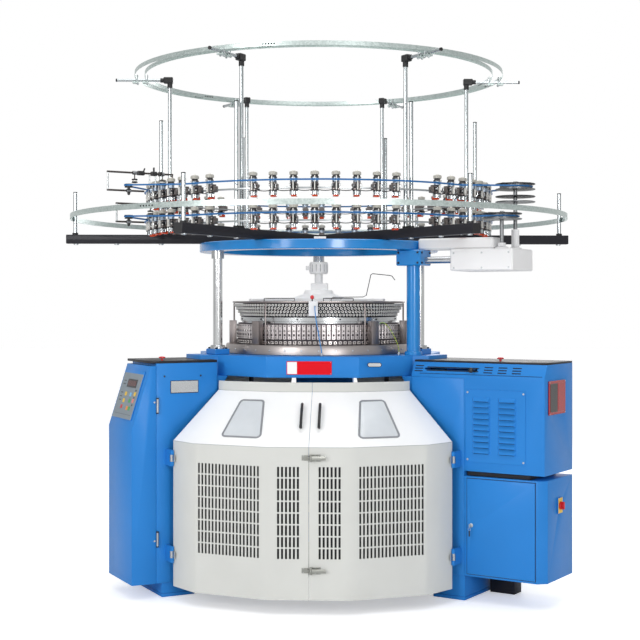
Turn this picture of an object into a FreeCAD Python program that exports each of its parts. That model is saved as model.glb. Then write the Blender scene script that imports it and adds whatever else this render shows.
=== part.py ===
import FreeCAD, Part
import math
import os
import re
import Sketcher
from FreeCAD import Placement, Rotation, Vector

# A circular knitting machine with its creel rings.
# Frame: origin on the floor below the needle cylinder, +Z up, the gates face -Y.
# Each leg, cabinet and guard is drawn along +X and then turned about Z to its place.

SIZES = {
    # Clearances and sheet
    "fit_gap": 0.3,
    "bore_gap": 0.1,
    # Number of flats that stand for a full circle
    "tube_flats": 6,
    "wheel_flats": 8,
    "rod_flats": 4,
    "hoop_flats": 24,
    "ring_flats": 20,
    # Directions about Z, in degrees
    "right_turn": -30,
    "left_turn": 210,
    "rear_turn": 90,
    "head_turn": 2.8,
    "creel_turn": 4.8,
    "bed_turn": 10,
    # Floor base and legs
    "base_hub": 150,
    "base_top": 110,
    "base_arm_low": 40,
    "base_arm_half": 60,
    "pivot_radius": 45,
    "foot_high": 20,
    "foot_inner": 940,
    "leg_inner": 985,
    "leg_outer": 1150,
    "leg_half": 200,
    "leg_head": 720,
    "cover_stand": 12,
    "shoulder": 938,
    # Bed casting
    "bed_sides": 9,
    "bed_radius": 800,
    "bed_low": 1306,
    "bed_top": 1430,
    "bed_wall": 30,
    "bed_deck": 30,
    "bed_bore": 505,
    "pad_lap": 70,
    "pad_half": 120,
    "pad_root": 640,
    "belt_window_half": 92,
    "belt_window_top": 1352,
    # Knitting head, from the bed up
    "saddle_outer": 600,
    "saddle_inner": 520,
    "saddle_top": 1490,
    "carrier_outer": 530,
    "carrier_inner": 445,
    "carrier_top": 1520,
    "cam_outer": 519,
    "cam_top": 1622,
    "sinker_outer": 505,
    "sinker_top": 1662,
    "guide_outer": 490,
    "guide_rim_low": 1745,
    "guide_rim_top": 1759,
    "guide_rim_outer": 556,
    "bracket_inner": 531.5,
    "bracket_outer": 576,
    "bracket_half": 28,
    "bracket_top": 1636,
    "bracket_turn": 40,
    "guide_post_spot": 546,
    "guide_post_radius": 6,
    "guide_post_turn": 34,
    "air_block_left": 45,
    "air_block_right": 15,
    "air_block_deep": 12,
    "air_block_low": 1682,
    # Needle cylinder and its drive
    "cylinder_outer": 432,
    "cylinder_inner": 405,
    "cylinder_low": 1440,
    "cylinder_top": 1640,
    "gear_teeth": 32,
    "gear_pitch": 483,
    "gear_slack": 0.5,
    "gear_addendum": 6,
    "gear_dedendum": 9,
    "gear_low": 1345,
    "gear_high": 1370,
    "race_radius": 470,
    "flange_radius": 495,
    "bearing_low": 1400,
    "pinion_teeth": 8,
    "shaft_radius": 20,
    "shaft_low": 1311,
    "shaft_top": 1424,
    "bush_radius": 45,
    "bush_low": 1374,
    "drive_pulley_radius": 80,
    "motor_pulley_radius": 60,
    "pulley_low": 1315,
    "pulley_high": 1337,
    "belt_thick": 4,
    "motor_spot": 1262,
    "motor_radius": 90,
    "motor_low": 1000,
    "motor_top": 1290,
    "motor_shaft": 14,
    "shaft_grip": 30,
    # Take-down below the cylinder
    "beam_half_long": 420,
    "beam_half_wide": 60,
    "takedown_low": 130,
    "beam_thick": 60,
    "plate_thick": 20,
    "plate_half": 160,
    "plate_top": 760,
    "hanger_spot": 438,
    "hanger_radius": 15,
    "roller_radius": 30,
    "journal_radius": 12,
    "roller_level": 700,
    "roller_spread": 31,
    "cloth_level": 420,
    "cloth_radius": 26,
    # Columns, crown ring and feeder drive
    "column_spot": 722,
    "column_radius": 29,
    "flange_long": 50,
    "flange_high": 35,
    "crown_outer": 767,
    "crown_inner": 640,
    "crown_low": 2071,
    "crown_top": 2128,
    "tube_spot": 732,
    "tube_side": 108,
    "tube_radius": 42,
    "bevel_inner": 650,
    "bevel_outer": 815,
    "bevel_back": 32,
    "bevel_front": 185,
    "bevel_low": 1975,
    "cross_level": 2008,
    "cross_radius": 21,
    "gearbox_inner": 995,
    "gearbox_outer": 1394,
    "gearbox_back": 184,
    "gearbox_front": 150,
    "gearbox_low": 1940,
    "cover_outer": 1260,
    "cover_back": 60,
    "cover_front": 120,
    "cover_top": 2140,
    "boss_radius": 24,
    "lower_boss_high": 35,
    "upper_boss_high": 119,
    "spindle_radius": 12,
    "disc_radius": 120,
    "disc_thick": 7,
    "upper_disc_drop": 18,
    "lower_disc_drop": 50,
    "drum_radius": 96,
    "lower_spindle": 1295,
    "lower_side": 70,
    "upper_spindle": 1323,
    "upper_side": 75,
    # Creel beams, posts and hoops
    "creel_beam_end": 1620,
    "creel_beam_half": 30,
    "creel_beam_high": 57,
    "rod_radius": 12.5,
    "creel_post_spot": 1565,
    "creel_post_top": 2460,
    "creel_hoop_low": 2271,
    "creel_hoop_high": 32,
    "hoop_thick": 4,
    "stay_spot": 1015,
    "stay_top": 2922,
    "mast_spot": 959,
    "joint_low": 3160,
    "joint_high": 40,
    "joint_half": 20,
    "joint_lap": 21,
    "arm_radius": 10,
    "arm_end": 1306,
    "outer_hoop": 1180,
    "inner_hoop": 1116,
    "top_hoop_high": 25,
    "clamp_half": 22,
    "clamp_thick": 11,
    # Yarn feeders
    "sector_feeders": 8,
    "feeder_pitch": 6.35,
    "feeder_half": 25,
    "feeder_up": 86,
    "feeder_down": 50,
    "rail_wide": 30.3,
    "rail_thick": 8,
    "upper_rail": 2402,
    "lower_rail": 2217,
    "tape_room": 8.7,
    "tape_rise": 40,
    "tape_high": 10,
    "tape_thick": 1.5,
    "roller_spot": 1330,
    "idler_radius": 25,
    "upper_tension_end": 1469,
    "lower_tension_end": 1413,
    "tension_drop": 108,
    "tension_rise": 121,
    "tension_rod": 6,
    "tension_back": 100,
    # Lint blower
    "stand_thick": 16,
    "stand_radius": 190,
    "stand_neck": 90,
    "stand_top": 1830,
    "blower_motor_top": 1875,
    "blower_neck": 27,
    "blower_neck_top": 1933,
    "blower_head": 61,
    "blower_top": 2011,
    "blower_motor_left": 50,
    "blower_motor_right": 60,
    "blower_motor_half": 40,
    "nozzle_reach": 22,
    # Guards: plan corners of the right half, from the split outward
    "guard_low": 80,
    "guard_front": 1142,
    "guard_middle": 232,
    "guard_side": 675,
    "guard_side_front": 970,
    "guard_end": 819,
    "guard_end_front": 800,
    "collar_low": 1225,
    "collar_top": 1280,
    "collar_front": 780,
    "collar_middle": 190,
    "collar_side": 530,
    "collar_end": 575,
    "sheet": 4,
    "grille_low": 300,
    "grille_high": 540,
    "grille_rows": 2,
    "side_columns": 8,
    "middle_columns": 3,
    "column_pitch": 44.8,
    "slot_wide": 25,
    "slot_tall": 248,
    "middle_grille_spot": 127,
    "hinge_spot": 1122,
    "hinge_side": 290,
    "hinge_radius": 11,
    "hinge_ear": 9.3,
    "hinge_pin": 6,
    "hinge_upper": 835,
    "hinge_lower": 268,
    "hinge_half": 47,
    "knuckle_half": 20,
    "tab_reach": 24,
    "tab_thick": 8,
    "guard_bracket_wide": 25,
    "guard_bracket_high": 40,
    "latch_upper": 880,
    "latch_lower": 248,
    "latch_pin": 2.9,
    "latch_spot": 12,
    "latch_stand": 20,
    "latch_knuckle": 8,
    "latch_long": 84,
    "latch_thick": 7,
    "latch_half": 11,
    "latch_ear": 20,
    "latch_ear_thick": 3.7,
    "latch_plate": 60,
    "latch_plate_thick": 4,
    "hook_reach": 14,
    "hook_half": 6,
    "keeper_gap": 8.9,
    "keeper_thick": 8,
    "keeper_foot": 36,
    # Left console and cover
    "cover_low": 87,
    "cover_edge": 1050,
    "cover_room": 39,
    "cover_inner": 800,
    "left_top": 1390,
    "left_plate": 15,
    "console_deep": 153,
    "console_bend": 1000,
    "console_top": 1375,
    "console_lip": 34,
    "key_panel_low": 50,
    "key_panel_high": 340,
    "key_panel_thick": 6,
    "key_panel_back": 180,
    "key_panel_front": 160,
    # Right housing and electrical cabinet
    "cabinet_outer": 1657,
    "cabinet_low": 150,
    "cabinet_high": 735,
    "cabinet_chamfer": 45,
    "wall": 4,
    "housing_low": 765,
    "housing_shoulder": 1320,
    "housing_top": 1395,
    "housing_lean": 40,
    "right_plate": 12,
    "panel_margin": 12.7,
    "panel_room": 116,
    "louvre_panel_low": 820,
    "louvre_panel_high": 1242,
    "panel_lap": 20,
    "panel_thick": 3,
    "louvre_rows": 6,
    "louvre_room": 79,
    "louvre_high": 16,
    "louvre_start": 45,
    "slider_low": 880,
    "slider_high": 1227,
    "slider_stem": 6,
    "door_left": 1172,
    "door_right": 1600,
    "door_low": 165,
    "door_high": 722,
    "door_thick": 6,
    "lock_spot": 1200,
    "lock_level": 450,
    "lock_radius": 9,
    "lock_reach": 18,
    "key_reach": 46,
    "key_half": 2,
    "key_drop": 14,
    "key_rise": 10,
    "switch_level": 577,
    "switch_stem": 8,
    "switch_plate": 8,
    "switch_half": 32,
    "switch_tall": 45,
    "switch_disc": 24,
    "switch_deep": 10,
    "switch_grip": 7,
    "switch_grip_half": 22,
    "switch_grip_reach": 16,
    "window_low": 1108,
    "window_high": 1302,
    "window_back": 77,
    "window_front": 163,
    "button_stem": 8,
    "button_head": 20,
    "button_grip": 5.5,
    "button_lift": 12,
    "button_high": 12,
    "left_button_spot": 80,
    "left_button_side": 62,
    "right_button_spot": 37,
    "right_button_side": 112,
}

# Sizes that follow from the ones above, under a name of their own
FOLLOWING = {
    "cam_inner": "(cylinder_outer + 3 * fit_gap) / cos(180 / ring_flats)",
    "pad_reach": "cover_inner + pad_lap",
    "front_plane": "leg_half + cover_stand",
    "back_plane": "leg_half",
    "joint_reach": "mast_spot + joint_half + joint_lap",
    "louvre_wide": "(panel_right - panel_left) / 2 - louvre_room",
    "flange_half": "tube_side - tube_radius - fit_gap",
    "gearbox_top": "crown_low",
    "cover_reach": "leg_outer + cover_room",
    "console_outer": "cover_reach + console_deep",
    "console_top_reach": "cover_reach + console_lip",
    "cabinet_inner": "leg_outer + fit_gap",
    "panel_left": "cabinet_inner + panel_margin",
    "panel_right": "cabinet_outer - panel_room",
    "pinion_spot": "gear_pitch * (1 + pinion_teeth / gear_teeth) + gear_slack",
    "slot_level": "housing_shoulder + (housing_top - housing_shoulder) * 0.48",
    "slider_half": "slider_stem * cos(180 / tube_flats) + fit_gap",
    "rail_inner": "(stay_spot + rod_radius + fit_gap) / cos(30 - sector_feeders / 2 * feeder_pitch)",
    "rail_outer": "rail_inner + rail_wide",
    "rail_flat": "rail_outer * cos(feeder_pitch) + fit_gap + feeder_half * sin(feeder_pitch / 2)",
    "feeder_back": "rail_flat / cos(feeder_pitch / 2)",
    "feeder_face": "feeder_back + 2 * feeder_half",
    "tape_radius": "feeder_face + tape_room",
}

doc = FreeCAD.newDocument("KnittingMachine")
sheet = doc.addObject("Spreadsheet::Sheet", "Sizes")
for row, (alias, number) in enumerate(SIZES.items(), start=1):
    sheet.set(f"A{row}", alias)
    sheet.set(f"B{row}", str(number))
    sheet.setAlias(f"B{row}", alias)
doc.recompute()

nodes = []


def formula(text):
    """Point every size named in a formula at its cell."""
    return re.sub(r"[a-z][a-z_]*", lambda word: cell(word.group()), str(text))


def cell(word):
    if word in FOLLOWING:
        return f"({formula(FOLLOWING[word])})"
    return f"Sizes.{word}" if word in SIZES else word


def size(text):
    """The number that a formula gives now."""
    return float(sheet.evalExpression(formula(text)))


def bind(thing, **formulas):
    """Tie properties, written with __ for a dot, to formulas of sizes."""
    for name, text in formulas.items():
        thing.setExpression(name.replace("__", "."), formula(text))
    return thing


def keep(name, thing, turn=None):
    """Make a thing a sub-part under its own name, turned about Z where a turn is given."""
    if turn is not None:
        thing = together(f"{name}_turned", thing, turn=turn)
    thing.Label = name
    nodes.append(thing)
    return thing


def block(name, x_low, x_high, y_low, y_high, z_low, z_high):
    """A box between limits."""
    box = doc.addObject("Part::Box", name)
    bind(box, Length=f"{x_high} - ({x_low})", Width=f"{y_high} - ({y_low})")
    bind(box, Height=f"{z_high} - ({z_low})")
    return bind(box, Placement__Base__x=x_low, Placement__Base__y=y_low, Placement__Base__z=z_low)


def prism(name, radius, low, high, flats="tube_flats", x="0", y="0", turn="0"):
    """An upright bar of many flats, standing for a round one."""
    bar = doc.addObject("Part::Prism", name)
    bind(bar, Polygon=flats, Circumradius=radius, Height=f"{high} - ({low})")
    bind(bar, Placement__Rotation__Angle=turn)
    return bind(bar, Placement__Base__x=x, Placement__Base__y=y, Placement__Base__z=low)


def lying(name, radius, axis, low, high, across="0", level="0", flats="tube_flats"):
    """A bar of many flats along X or Y."""
    bar = doc.addObject("Part::Prism", name)
    bind(bar, Polygon=flats, Circumradius=radius, Height=f"{high} - ({low})")
    if axis == "x":
        bar.Placement.Rotation = Rotation(Vector(0, 1, 0), 90)
        return bind(bar, Placement__Base__x=low, Placement__Base__y=across, Placement__Base__z=level)
    bar.Placement.Rotation = Rotation(Vector(1, 0, 0), -90)
    return bind(bar, Placement__Base__x=across, Placement__Base__y=low, Placement__Base__z=level)


def fuse(name, *things):
    joined = doc.addObject("Part::MultiFuse", name)
    joined.Shapes = list(things)
    return joined


def cut(name, base, tool):
    rest = doc.addObject("Part::Cut", name)
    rest.Base = base
    rest.Tool = tool
    return rest


def outline(sketch, points):
    """Draw a closed outline, each corner tied to its two formulas."""
    spots = [Vector(size(across), size(up), 0) for across, up in points]
    count = len(spots)
    sketch.addGeometry([Part.LineSegment(spots[i], spots[(i + 1) % count]) for i in range(count)], False)
    for i in range(count):
        sketch.addConstraint(Sketcher.Constraint("Coincident", i, 2, (i + 1) % count, 1))
    for i, (across, up) in enumerate(points):
        for kind, text, number in (("DistanceX", across, spots[i].x), ("DistanceY", up, spots[i].y)):
            index = sketch.addConstraint(Sketcher.Constraint(kind, -1, 1, i, 1, number))
            sketch.setExpression(f"Constraints[{index}]", formula(text))


def pad(name, plane, points, low, high):
    """A body padded from an outline: plane XY runs up Z, XZ along Y, YZ along X."""
    body = doc.addObject("PartDesign::Body", name)
    sketch = body.newObject("Sketcher::SketchObject", f"{name}_outline")
    origin = next(f for f in body.Origin.OriginFeatures if f.Role == f"{plane}_Plane")
    sketch.AttachmentSupport = [(origin, "")]
    sketch.MapMode = "FlatFace"
    start = f"-({high})" if plane == "XZ" else low
    bind(sketch, AttachmentOffset__Base__z=start)
    outline(sketch, points)
    feature = body.newObject("PartDesign::Pad", f"{name}_pad")
    feature.Profile = sketch
    bind(feature, Length=f"{high} - ({low})")
    body.Tip = feature
    return body


def ring(name, outer, inner, low, high, flats="ring_flats", turn="0"):
    """A flat ring of many flats."""
    rim = prism(f"{name}_rim", outer, low, high, flats, turn=turn)
    eye = prism(f"{name}_eye", inner, f"{low} - 1", f"{high} + 1", flats, turn=turn)
    return cut(name, rim, eye)


def shape_node(name, shape):
    """A sub-part whose shape is worked out here."""
    return keep(name, worked(name, shape))


def worked(name, shape):
    """A thing whose shape is worked out here."""
    feature = doc.addObject("Part::Feature", name)
    feature.Shape = shape
    return feature


def together(name, *things, turn="0"):
    """Things side by side, turned about Z, not joined."""
    group = doc.addObject("Part::Compound", name)
    group.Links = list(things)
    return bind(group, Placement__Rotation__Angle=turn)


def round_group(name, source, angles):
    """Copies of a finished thing at each angle about Z."""
    doc.recompute()
    copies = []
    for angle in angles:
        copy = source.Shape.copy()
        copy.rotate(Vector(), Vector(0, 0, 1), angle)
        copies.append(copy)
    return worked(name, Part.makeCompound(copies))


def sixfold(turn):
    return [size(turn) + 60 * step for step in range(6)]


THREE_LEGS = {"right": "right_turn", "left": "left_turn", "rear": "rear_turn"}

# ---------------------------------------------------------------- floor base
# A cast tripod whose hub rests on the floor and carries the pivot of the take-down.
hub = prism("base_hub_round", "base_hub", "0", "base_top", "ring_flats")
arms = []
for side, turn in THREE_LEGS.items():
    arm = block(f"base_arm_{side}_bar", "base_hub / 2", "leg_inner", "-base_arm_half", "base_arm_half",
                "base_arm_low", "base_top")
    arms.append(together(f"base_arm_{side}", arm, turn=turn))
bore = prism("base_bore", "pivot_radius + 1", "foot_high", "base_top + 1", "wheel_flats")
bind(bore, Circumradius="(pivot_radius + bore_gap) / cos(180 / wheel_flats)")
keep("floor_base", cut("floor_base_cut", fuse("floor_base_blank", hub, *arms), bore))

# ---------------------------------------------------------------- legs and feet
leg_angles = [size(turn) for turn in THREE_LEGS.values()]
leg = pad("leg_body", "XZ", [
    ("leg_inner", "foot_high"), ("leg_outer", "foot_high"), ("leg_outer", "bed_low"),
    ("leg_head", "bed_low"), ("leg_inner", "shoulder")], "-leg_half", "leg_half")
keep("legs", round_group("leg_set", leg, leg_angles))

foot = block("foot_blank", "foot_inner", "leg_outer", "-leg_half", "leg_half", "0", "foot_high")
keep("foot_plates", round_group("foot_set", foot, leg_angles))

# ---------------------------------------------------------------- bed casting
# Nine-sided casting, open below, with a pad over each leg and a window for the drive belt.
bed_outside = prism("bed_outside", "bed_radius", "bed_low", "bed_top", "bed_sides", turn="bed_turn")
pads = []
for side, turn in THREE_LEGS.items():
    bed_pad = block(f"bed_pad_{side}_bar", "pad_root", "pad_reach", "-pad_half", "pad_half", "bed_low",
                    "bed_top")
    pads.append(together(f"bed_pad_{side}", bed_pad, turn=turn))
bed_cavity = prism("bed_cavity", "bed_radius - bed_wall / cos(180 / bed_sides)", "bed_low - 1",
                   "bed_top - bed_deck", "bed_sides", turn="bed_turn")
bed_hole = prism("bed_hole", "bed_bore", "bed_low", "bed_top + 1", "ring_flats")
belt_window = block("belt_window_box", "pad_root", "pad_reach + 1", "-belt_window_half", "belt_window_half",
                    "bed_low - 1", "belt_window_top")
shaft_hole = prism("shaft_hole", "(shaft_radius + bore_gap) / cos(180 / wheel_flats)", "bed_low",
                   "shaft_top + fit_gap", "wheel_flats", x="pinion_spot")
turned_cuts = together("bed_right_cuts", belt_window, shaft_hole, turn="right_turn")
bed_hollow = cut("bed_hollow", fuse("bed_blank", bed_outside, *pads), bed_cavity)
bed_open = cut("bed_open", bed_hollow, bed_hole)
keep("bed", cut("bed_cut", bed_open, turned_cuts))

# ---------------------------------------------------------------- knitting head, fixed
keep("saddle_ring", together(
    "saddle_rings", ring("saddle_cut", "saddle_outer", "saddle_inner", "bed_top", "saddle_top"),
    ring("carrier_cut", "carrier_outer", "carrier_inner", "saddle_top", "carrier_top")))
keep("cam_box", ring("cam_cut", "cam_outer", "cam_inner", "carrier_top", "cam_top", "hoop_flats"))
keep("sinker_ring", ring("sinker_cut", "sinker_outer", "cam_inner", "cam_top", "sinker_top"))
guide_base = prism("guide_base", "guide_outer", "sinker_top", "guide_rim_low", "ring_flats")
guide_rim = prism("guide_rim", "guide_rim_outer", "guide_rim_low", "guide_rim_top", "ring_flats")
guide_eye = prism("guide_eye", "cam_inner", "sinker_top - 1", "guide_rim_top + 1", "ring_flats")
air_block = block("air_block", "-air_block_left", "air_block_right", "-guide_rim_outer - air_block_deep",
                  "-guide_rim_outer", "air_block_low", "guide_rim_top")
keep("yarn_guide_ring", cut("guide_cut", fuse("guide_blank", guide_base, guide_rim, air_block), guide_eye))

bracket = block("bracket_bar", "bracket_inner", "bracket_outer", "-bracket_half", "bracket_half",
                "saddle_top", "bracket_top")
guide_post = prism("guide_post_rod", "guide_post_radius", "saddle_top", "guide_rim_low", "rod_flats",
                   x="guide_post_spot")


def mirrored_thirds(turn):
    """Three pairs of angles, each pair spread evenly about the middle of a guard."""
    spread = size(turn)
    return [-90 + third + side * spread for third in (0, 120, 240) for side in (-1, 1)]


keep("head_brackets", together(
    "bracket_set", round_group("bracket_bars", bracket, mirrored_thirds("bracket_turn")),
    round_group("guide_posts", guide_post, mirrored_thirds("guide_post_turn"))))

# ---------------------------------------------------------------- needle cylinder and drive


def gear_outline(teeth, pitch, phase):
    """Trapezoid teeth about the pitch circle; phase is in teeth."""
    step = 2 * math.pi / teeth
    tip = pitch + size("gear_addendum")
    root = pitch - size("gear_dedendum")
    corners = []
    for tooth in range(teeth):
        middle = (tooth + phase) * step
        half_root = 0.28 * step
        half_tip = 0.16 * step
        for radius, offset in ((root, -half_root), (tip, -half_tip), (tip, half_tip), (root, half_root)):
            angle = middle + offset
            corners.append(Vector(radius * math.cos(angle), radius * math.sin(angle), 0))
    return Part.Face(Part.makePolygon(corners + corners[:1]))


def upright(face, low, high):
    face.translate(Vector(0, 0, low))
    return face.extrude(Vector(0, 0, high - low))


def round_bar(radius, low, high, flats):
    """A plain bar of flats as a shape."""
    step = 2 * math.pi / flats
    corners = [Vector(radius * math.cos(step * i), radius * math.sin(step * i), 0) for i in range(flats + 1)]
    return upright(Part.Face(Part.makePolygon(corners)), low, high)


ring_flats = int(size("ring_flats"))
gear_face = gear_outline(int(size("gear_teeth")), size("gear_pitch"), 0)
gear = upright(gear_face, size("gear_low"), size("gear_high"))
collar = round_bar(size("race_radius"), size("gear_high"), size("bed_top + fit_gap"), ring_flats)
flange = round_bar(size("flange_radius"), size("bed_top + fit_gap"), size("cylinder_low"), ring_flats)
eye = round_bar(size("cylinder_inner"), size("gear_low - 1"), size("cylinder_low + 1"), ring_flats)
gear_ring = gear.fuse([collar, flange]).cut(eye)
gear_ring.rotate(Vector(), Vector(0, 0, 1), size("right_turn"))
shape_node("ring_gear", gear_ring.removeSplitter())

keep("needle_cylinder", ring("needle_cut", "cylinder_outer", "cylinder_inner", "cylinder_low", "cylinder_top"))
main_bearing = ring("bearing_cut", "bed_bore", "(race_radius + fit_gap) / cos(180 / ring_flats)", "bearing_low",
                    "bed_top")

pinion_teeth = int(size("pinion_teeth"))
pinion_pitch = size("gear_pitch * pinion_teeth / gear_teeth")
pinion = upright(gear_outline(pinion_teeth, pinion_pitch, 0.5), size("gear_low"), size("gear_high"))
wheel_flats = int(size("wheel_flats"))
drive_shaft = round_bar(size("shaft_radius"), size("shaft_low"), size("shaft_top"), wheel_flats)
drive_pulley = round_bar(size("drive_pulley_radius"), size("pulley_low"), size("pulley_high"), wheel_flats)
pinion_shaft = pinion.fuse([drive_shaft, drive_pulley])
pinion_shaft.translate(Vector(size("pinion_spot"), 0, 0))
pinion_shaft.rotate(Vector(), Vector(0, 0, 1), size("right_turn"))
shape_node("pinion_shaft", pinion_shaft.removeSplitter())

bush = prism("bush_round", "bush_radius", "bush_low", "bed_top - bed_deck", "wheel_flats", x="pinion_spot")
bush_eye = prism("bush_eye", "(shaft_radius + bore_gap) / cos(180 / wheel_flats)", "bush_low - 1",
                 "bed_top", "wheel_flats", x="pinion_spot")
keep("bearings", together("bearing_set", main_bearing,
                          together("pinion_bush", cut("bush_cut", bush, bush_eye), turn="right_turn")))

motor_can = prism("motor_can", "motor_radius", "motor_low", "motor_top", "wheel_flats", x="motor_spot")
motor_foot = block("motor_foot", "leg_outer + fit_gap", "motor_spot", "-motor_radius / 2", "motor_radius / 2",
                   "motor_low", "motor_top - 40")
motor_eye = prism("motor_eye", "(motor_shaft + bore_gap) / cos(180 / tube_flats)", "motor_top - shaft_grip",
                  "motor_top + 1", x="motor_spot")
keep("motor", cut("motor_cut", fuse("motor_blank", motor_can, motor_foot), motor_eye), "right_turn")
motor_spindle = prism("motor_spindle", "motor_shaft", "motor_top - shaft_grip + fit_gap", "pulley_low + 1",
                      x="motor_spot")
motor_wheel = prism("motor_wheel", "motor_pulley_radius", "pulley_low", "pulley_high", "wheel_flats",
                    x="motor_spot")
keep("motor_pulley", fuse("motor_pulley_blank", motor_spindle, motor_wheel), "right_turn")


def loop_band(points, thickness, low, high):
    """A closed band that follows points, standing outside them."""
    inner = Part.makePolygon(points + points[:1])
    outer = inner.makeOffset2D(thickness, 2, False, False)
    band = Part.Face(outer).cut(Part.Face(inner)).Faces[0]
    return upright(band, low, high)


def arc_points(x, y, radius, start, stop, steps):
    """Points round a wheel, clear of it between them."""
    reach = radius / math.cos(math.radians((stop - start) / steps / 2))
    return [Vector(x + reach * math.cos(math.radians(start + (stop - start) * (i + 0.5) / steps)),
                   y + reach * math.sin(math.radians(start + (stop - start) * (i + 0.5) / steps)), 0)
            for i in range(steps)]


belt_rise = size("(drive_pulley_radius - motor_pulley_radius) / (motor_spot - pinion_spot)")
belt_lean = math.degrees(math.asin(belt_rise))
drive_rim = size("drive_pulley_radius + fit_gap")
motor_rim = size("motor_pulley_radius + fit_gap")
belt_path = arc_points(size("pinion_spot"), 0, drive_rim, 90 - belt_lean, 270 + belt_lean, 6)
belt_path += arc_points(size("motor_spot"), 0, motor_rim, belt_lean - 90, 90 - belt_lean, 6)
belt = loop_band(belt_path, size("belt_thick"), size("pulley_low + 2"), size("pulley_high - 2"))
belt.rotate(Vector(), Vector(0, 0, 1), size("right_turn"))
shape_node("drive_belt", belt)

# ---------------------------------------------------------------- take-down, turning with the cylinder
beam_top = "(takedown_low + beam_thick)"
pivot = prism("pivot_bar", "pivot_radius", "foot_high + fit_gap", "takedown_low + 1", "wheel_flats")
long_beam = block("long_beam", "-beam_half_long", "beam_half_long", "-beam_half_wide", "beam_half_wide",
                  "takedown_low", beam_top)
takedown = [pivot, long_beam]
for side in (-1, 1):
    edges = sorted((f"{side} * beam_half_long", f"{side} * (beam_half_long - plate_thick)"), key=size)
    takedown.append(block(f"side_plate_{side + 1}", edges[0], edges[1], "-plate_half", "plate_half",
                          beam_top, "plate_top"))
    lug = sorted((f"{side} * (beam_half_long - 1)", f"{side} * (hanger_spot + hanger_radius)"), key=size)
    takedown.append(block(f"hanger_lug_{side + 1}", lug[0], lug[1], "-hanger_radius", "hanger_radius",
                          "plate_top - 60", "plate_top"))
    takedown.append(prism(f"hanger_{side + 1}", "hanger_radius", "plate_top - 1", "gear_low", "rod_flats",
                          x=f"{side} * hanger_spot"))
journal_bore = "((journal_radius + bore_gap) / cos(180 / tube_flats))"
ROLLERS = {"takedown_roller_front": ("-roller_spread", "roller_level", "roller_radius"),
           "takedown_roller_rear": ("roller_spread", "roller_level", "roller_radius"),
           "cloth_roll_shaft": ("0", "cloth_level", "cloth_radius")}
bores = together("roller_bores", *[
    lying(f"{name}_bore", journal_bore, "x", "-beam_half_long - 1", "beam_half_long + 1", across, level)
    for name, (across, level, radius) in ROLLERS.items()])
keep("takedown_frame", cut("takedown_cut", fuse("takedown_blank", *takedown), bores))
for name, (across, level, radius) in ROLLERS.items():
    journal = lying(f"{name}_journal", "journal_radius", "x", "-beam_half_long", "beam_half_long", across,
                    level)
    barrel = lying(f"{name}_barrel", radius, "x", "-(beam_half_long - plate_thick - fit_gap)",
                   "beam_half_long - plate_thick - fit_gap", across, level, "wheel_flats")
    keep(name, fuse(f"{name}_blank", journal, barrel))

# ---------------------------------------------------------------- columns and crown ring
stem = prism("column_stem", "column_radius", "bed_top + flange_high - 1", "crown_low", "wheel_flats",
             x="column_spot")
foot_flange = block("column_flange", "column_spot - flange_long", "column_spot + flange_long",
                    "-flange_half", "flange_half", "bed_top", "bed_top + flange_high")
keep("columns", round_group("column_set", fuse("column_blank", stem, foot_flange), leg_angles), "head_turn")
keep("crown_ring", ring("crown_cut", "crown_outer", "crown_inner", "crown_low", "crown_top"))

# ---------------------------------------------------------------- feeder drive
drive_turn = "right_turn + head_turn"
shaft_tube = prism("shaft_tube", "tube_radius", "bed_top", "bevel_low + 1", "wheel_flats", x="tube_spot",
                   y="-tube_side")
bevel_box = block("bevel_box", "bevel_inner", "bevel_outer", "-bevel_front", "-bevel_back", "bevel_low",
                  "crown_low")
cross_tube = lying("cross_tube", "cross_radius", "x", "bevel_outer - 1", "gearbox_inner", "-tube_side",
                   "cross_level", "wheel_flats")
keep("drive_column", fuse("drive_column_blank", shaft_tube, bevel_box, cross_tube), drive_turn)
gear_case = block("gear_case", "gearbox_inner", "gearbox_outer", "-gearbox_front", "gearbox_back",
                  "gearbox_low", "gearbox_top")
SPINDLES = {"lower": ("lower_spindle", "-lower_side"), "upper": ("upper_spindle", "upper_side")}
bosses = [prism(f"boss_{tier}", "boss_radius", "gearbox_top - 1", f"gearbox_top + {tier}_boss_high",
                "wheel_flats", x=x, y=y) for tier, (x, y) in SPINDLES.items()]
spindle_bores = together("spindle_bores", *[
    prism(f"spindle_bore_{tier}", "(spindle_radius + bore_gap) / cos(180 / tube_flats)",
          "gearbox_top - shaft_grip", f"gearbox_top + {tier}_boss_high + 1", x=x, y=y)
    for tier, (x, y) in SPINDLES.items()])
belt_cover = block("belt_cover", "crown_outer + fit_gap", "cover_outer", "-cover_front", "cover_back",
                   "gearbox_top", "cover_top")
keep("gearbox", together(
    "gearbox_set", cut("gearbox_cut", fuse("gearbox_blank", gear_case, *bosses), spindle_bores),
    cut("belt_cover_cut", belt_cover, together("boss_room", *bosses))), drive_turn)

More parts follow.
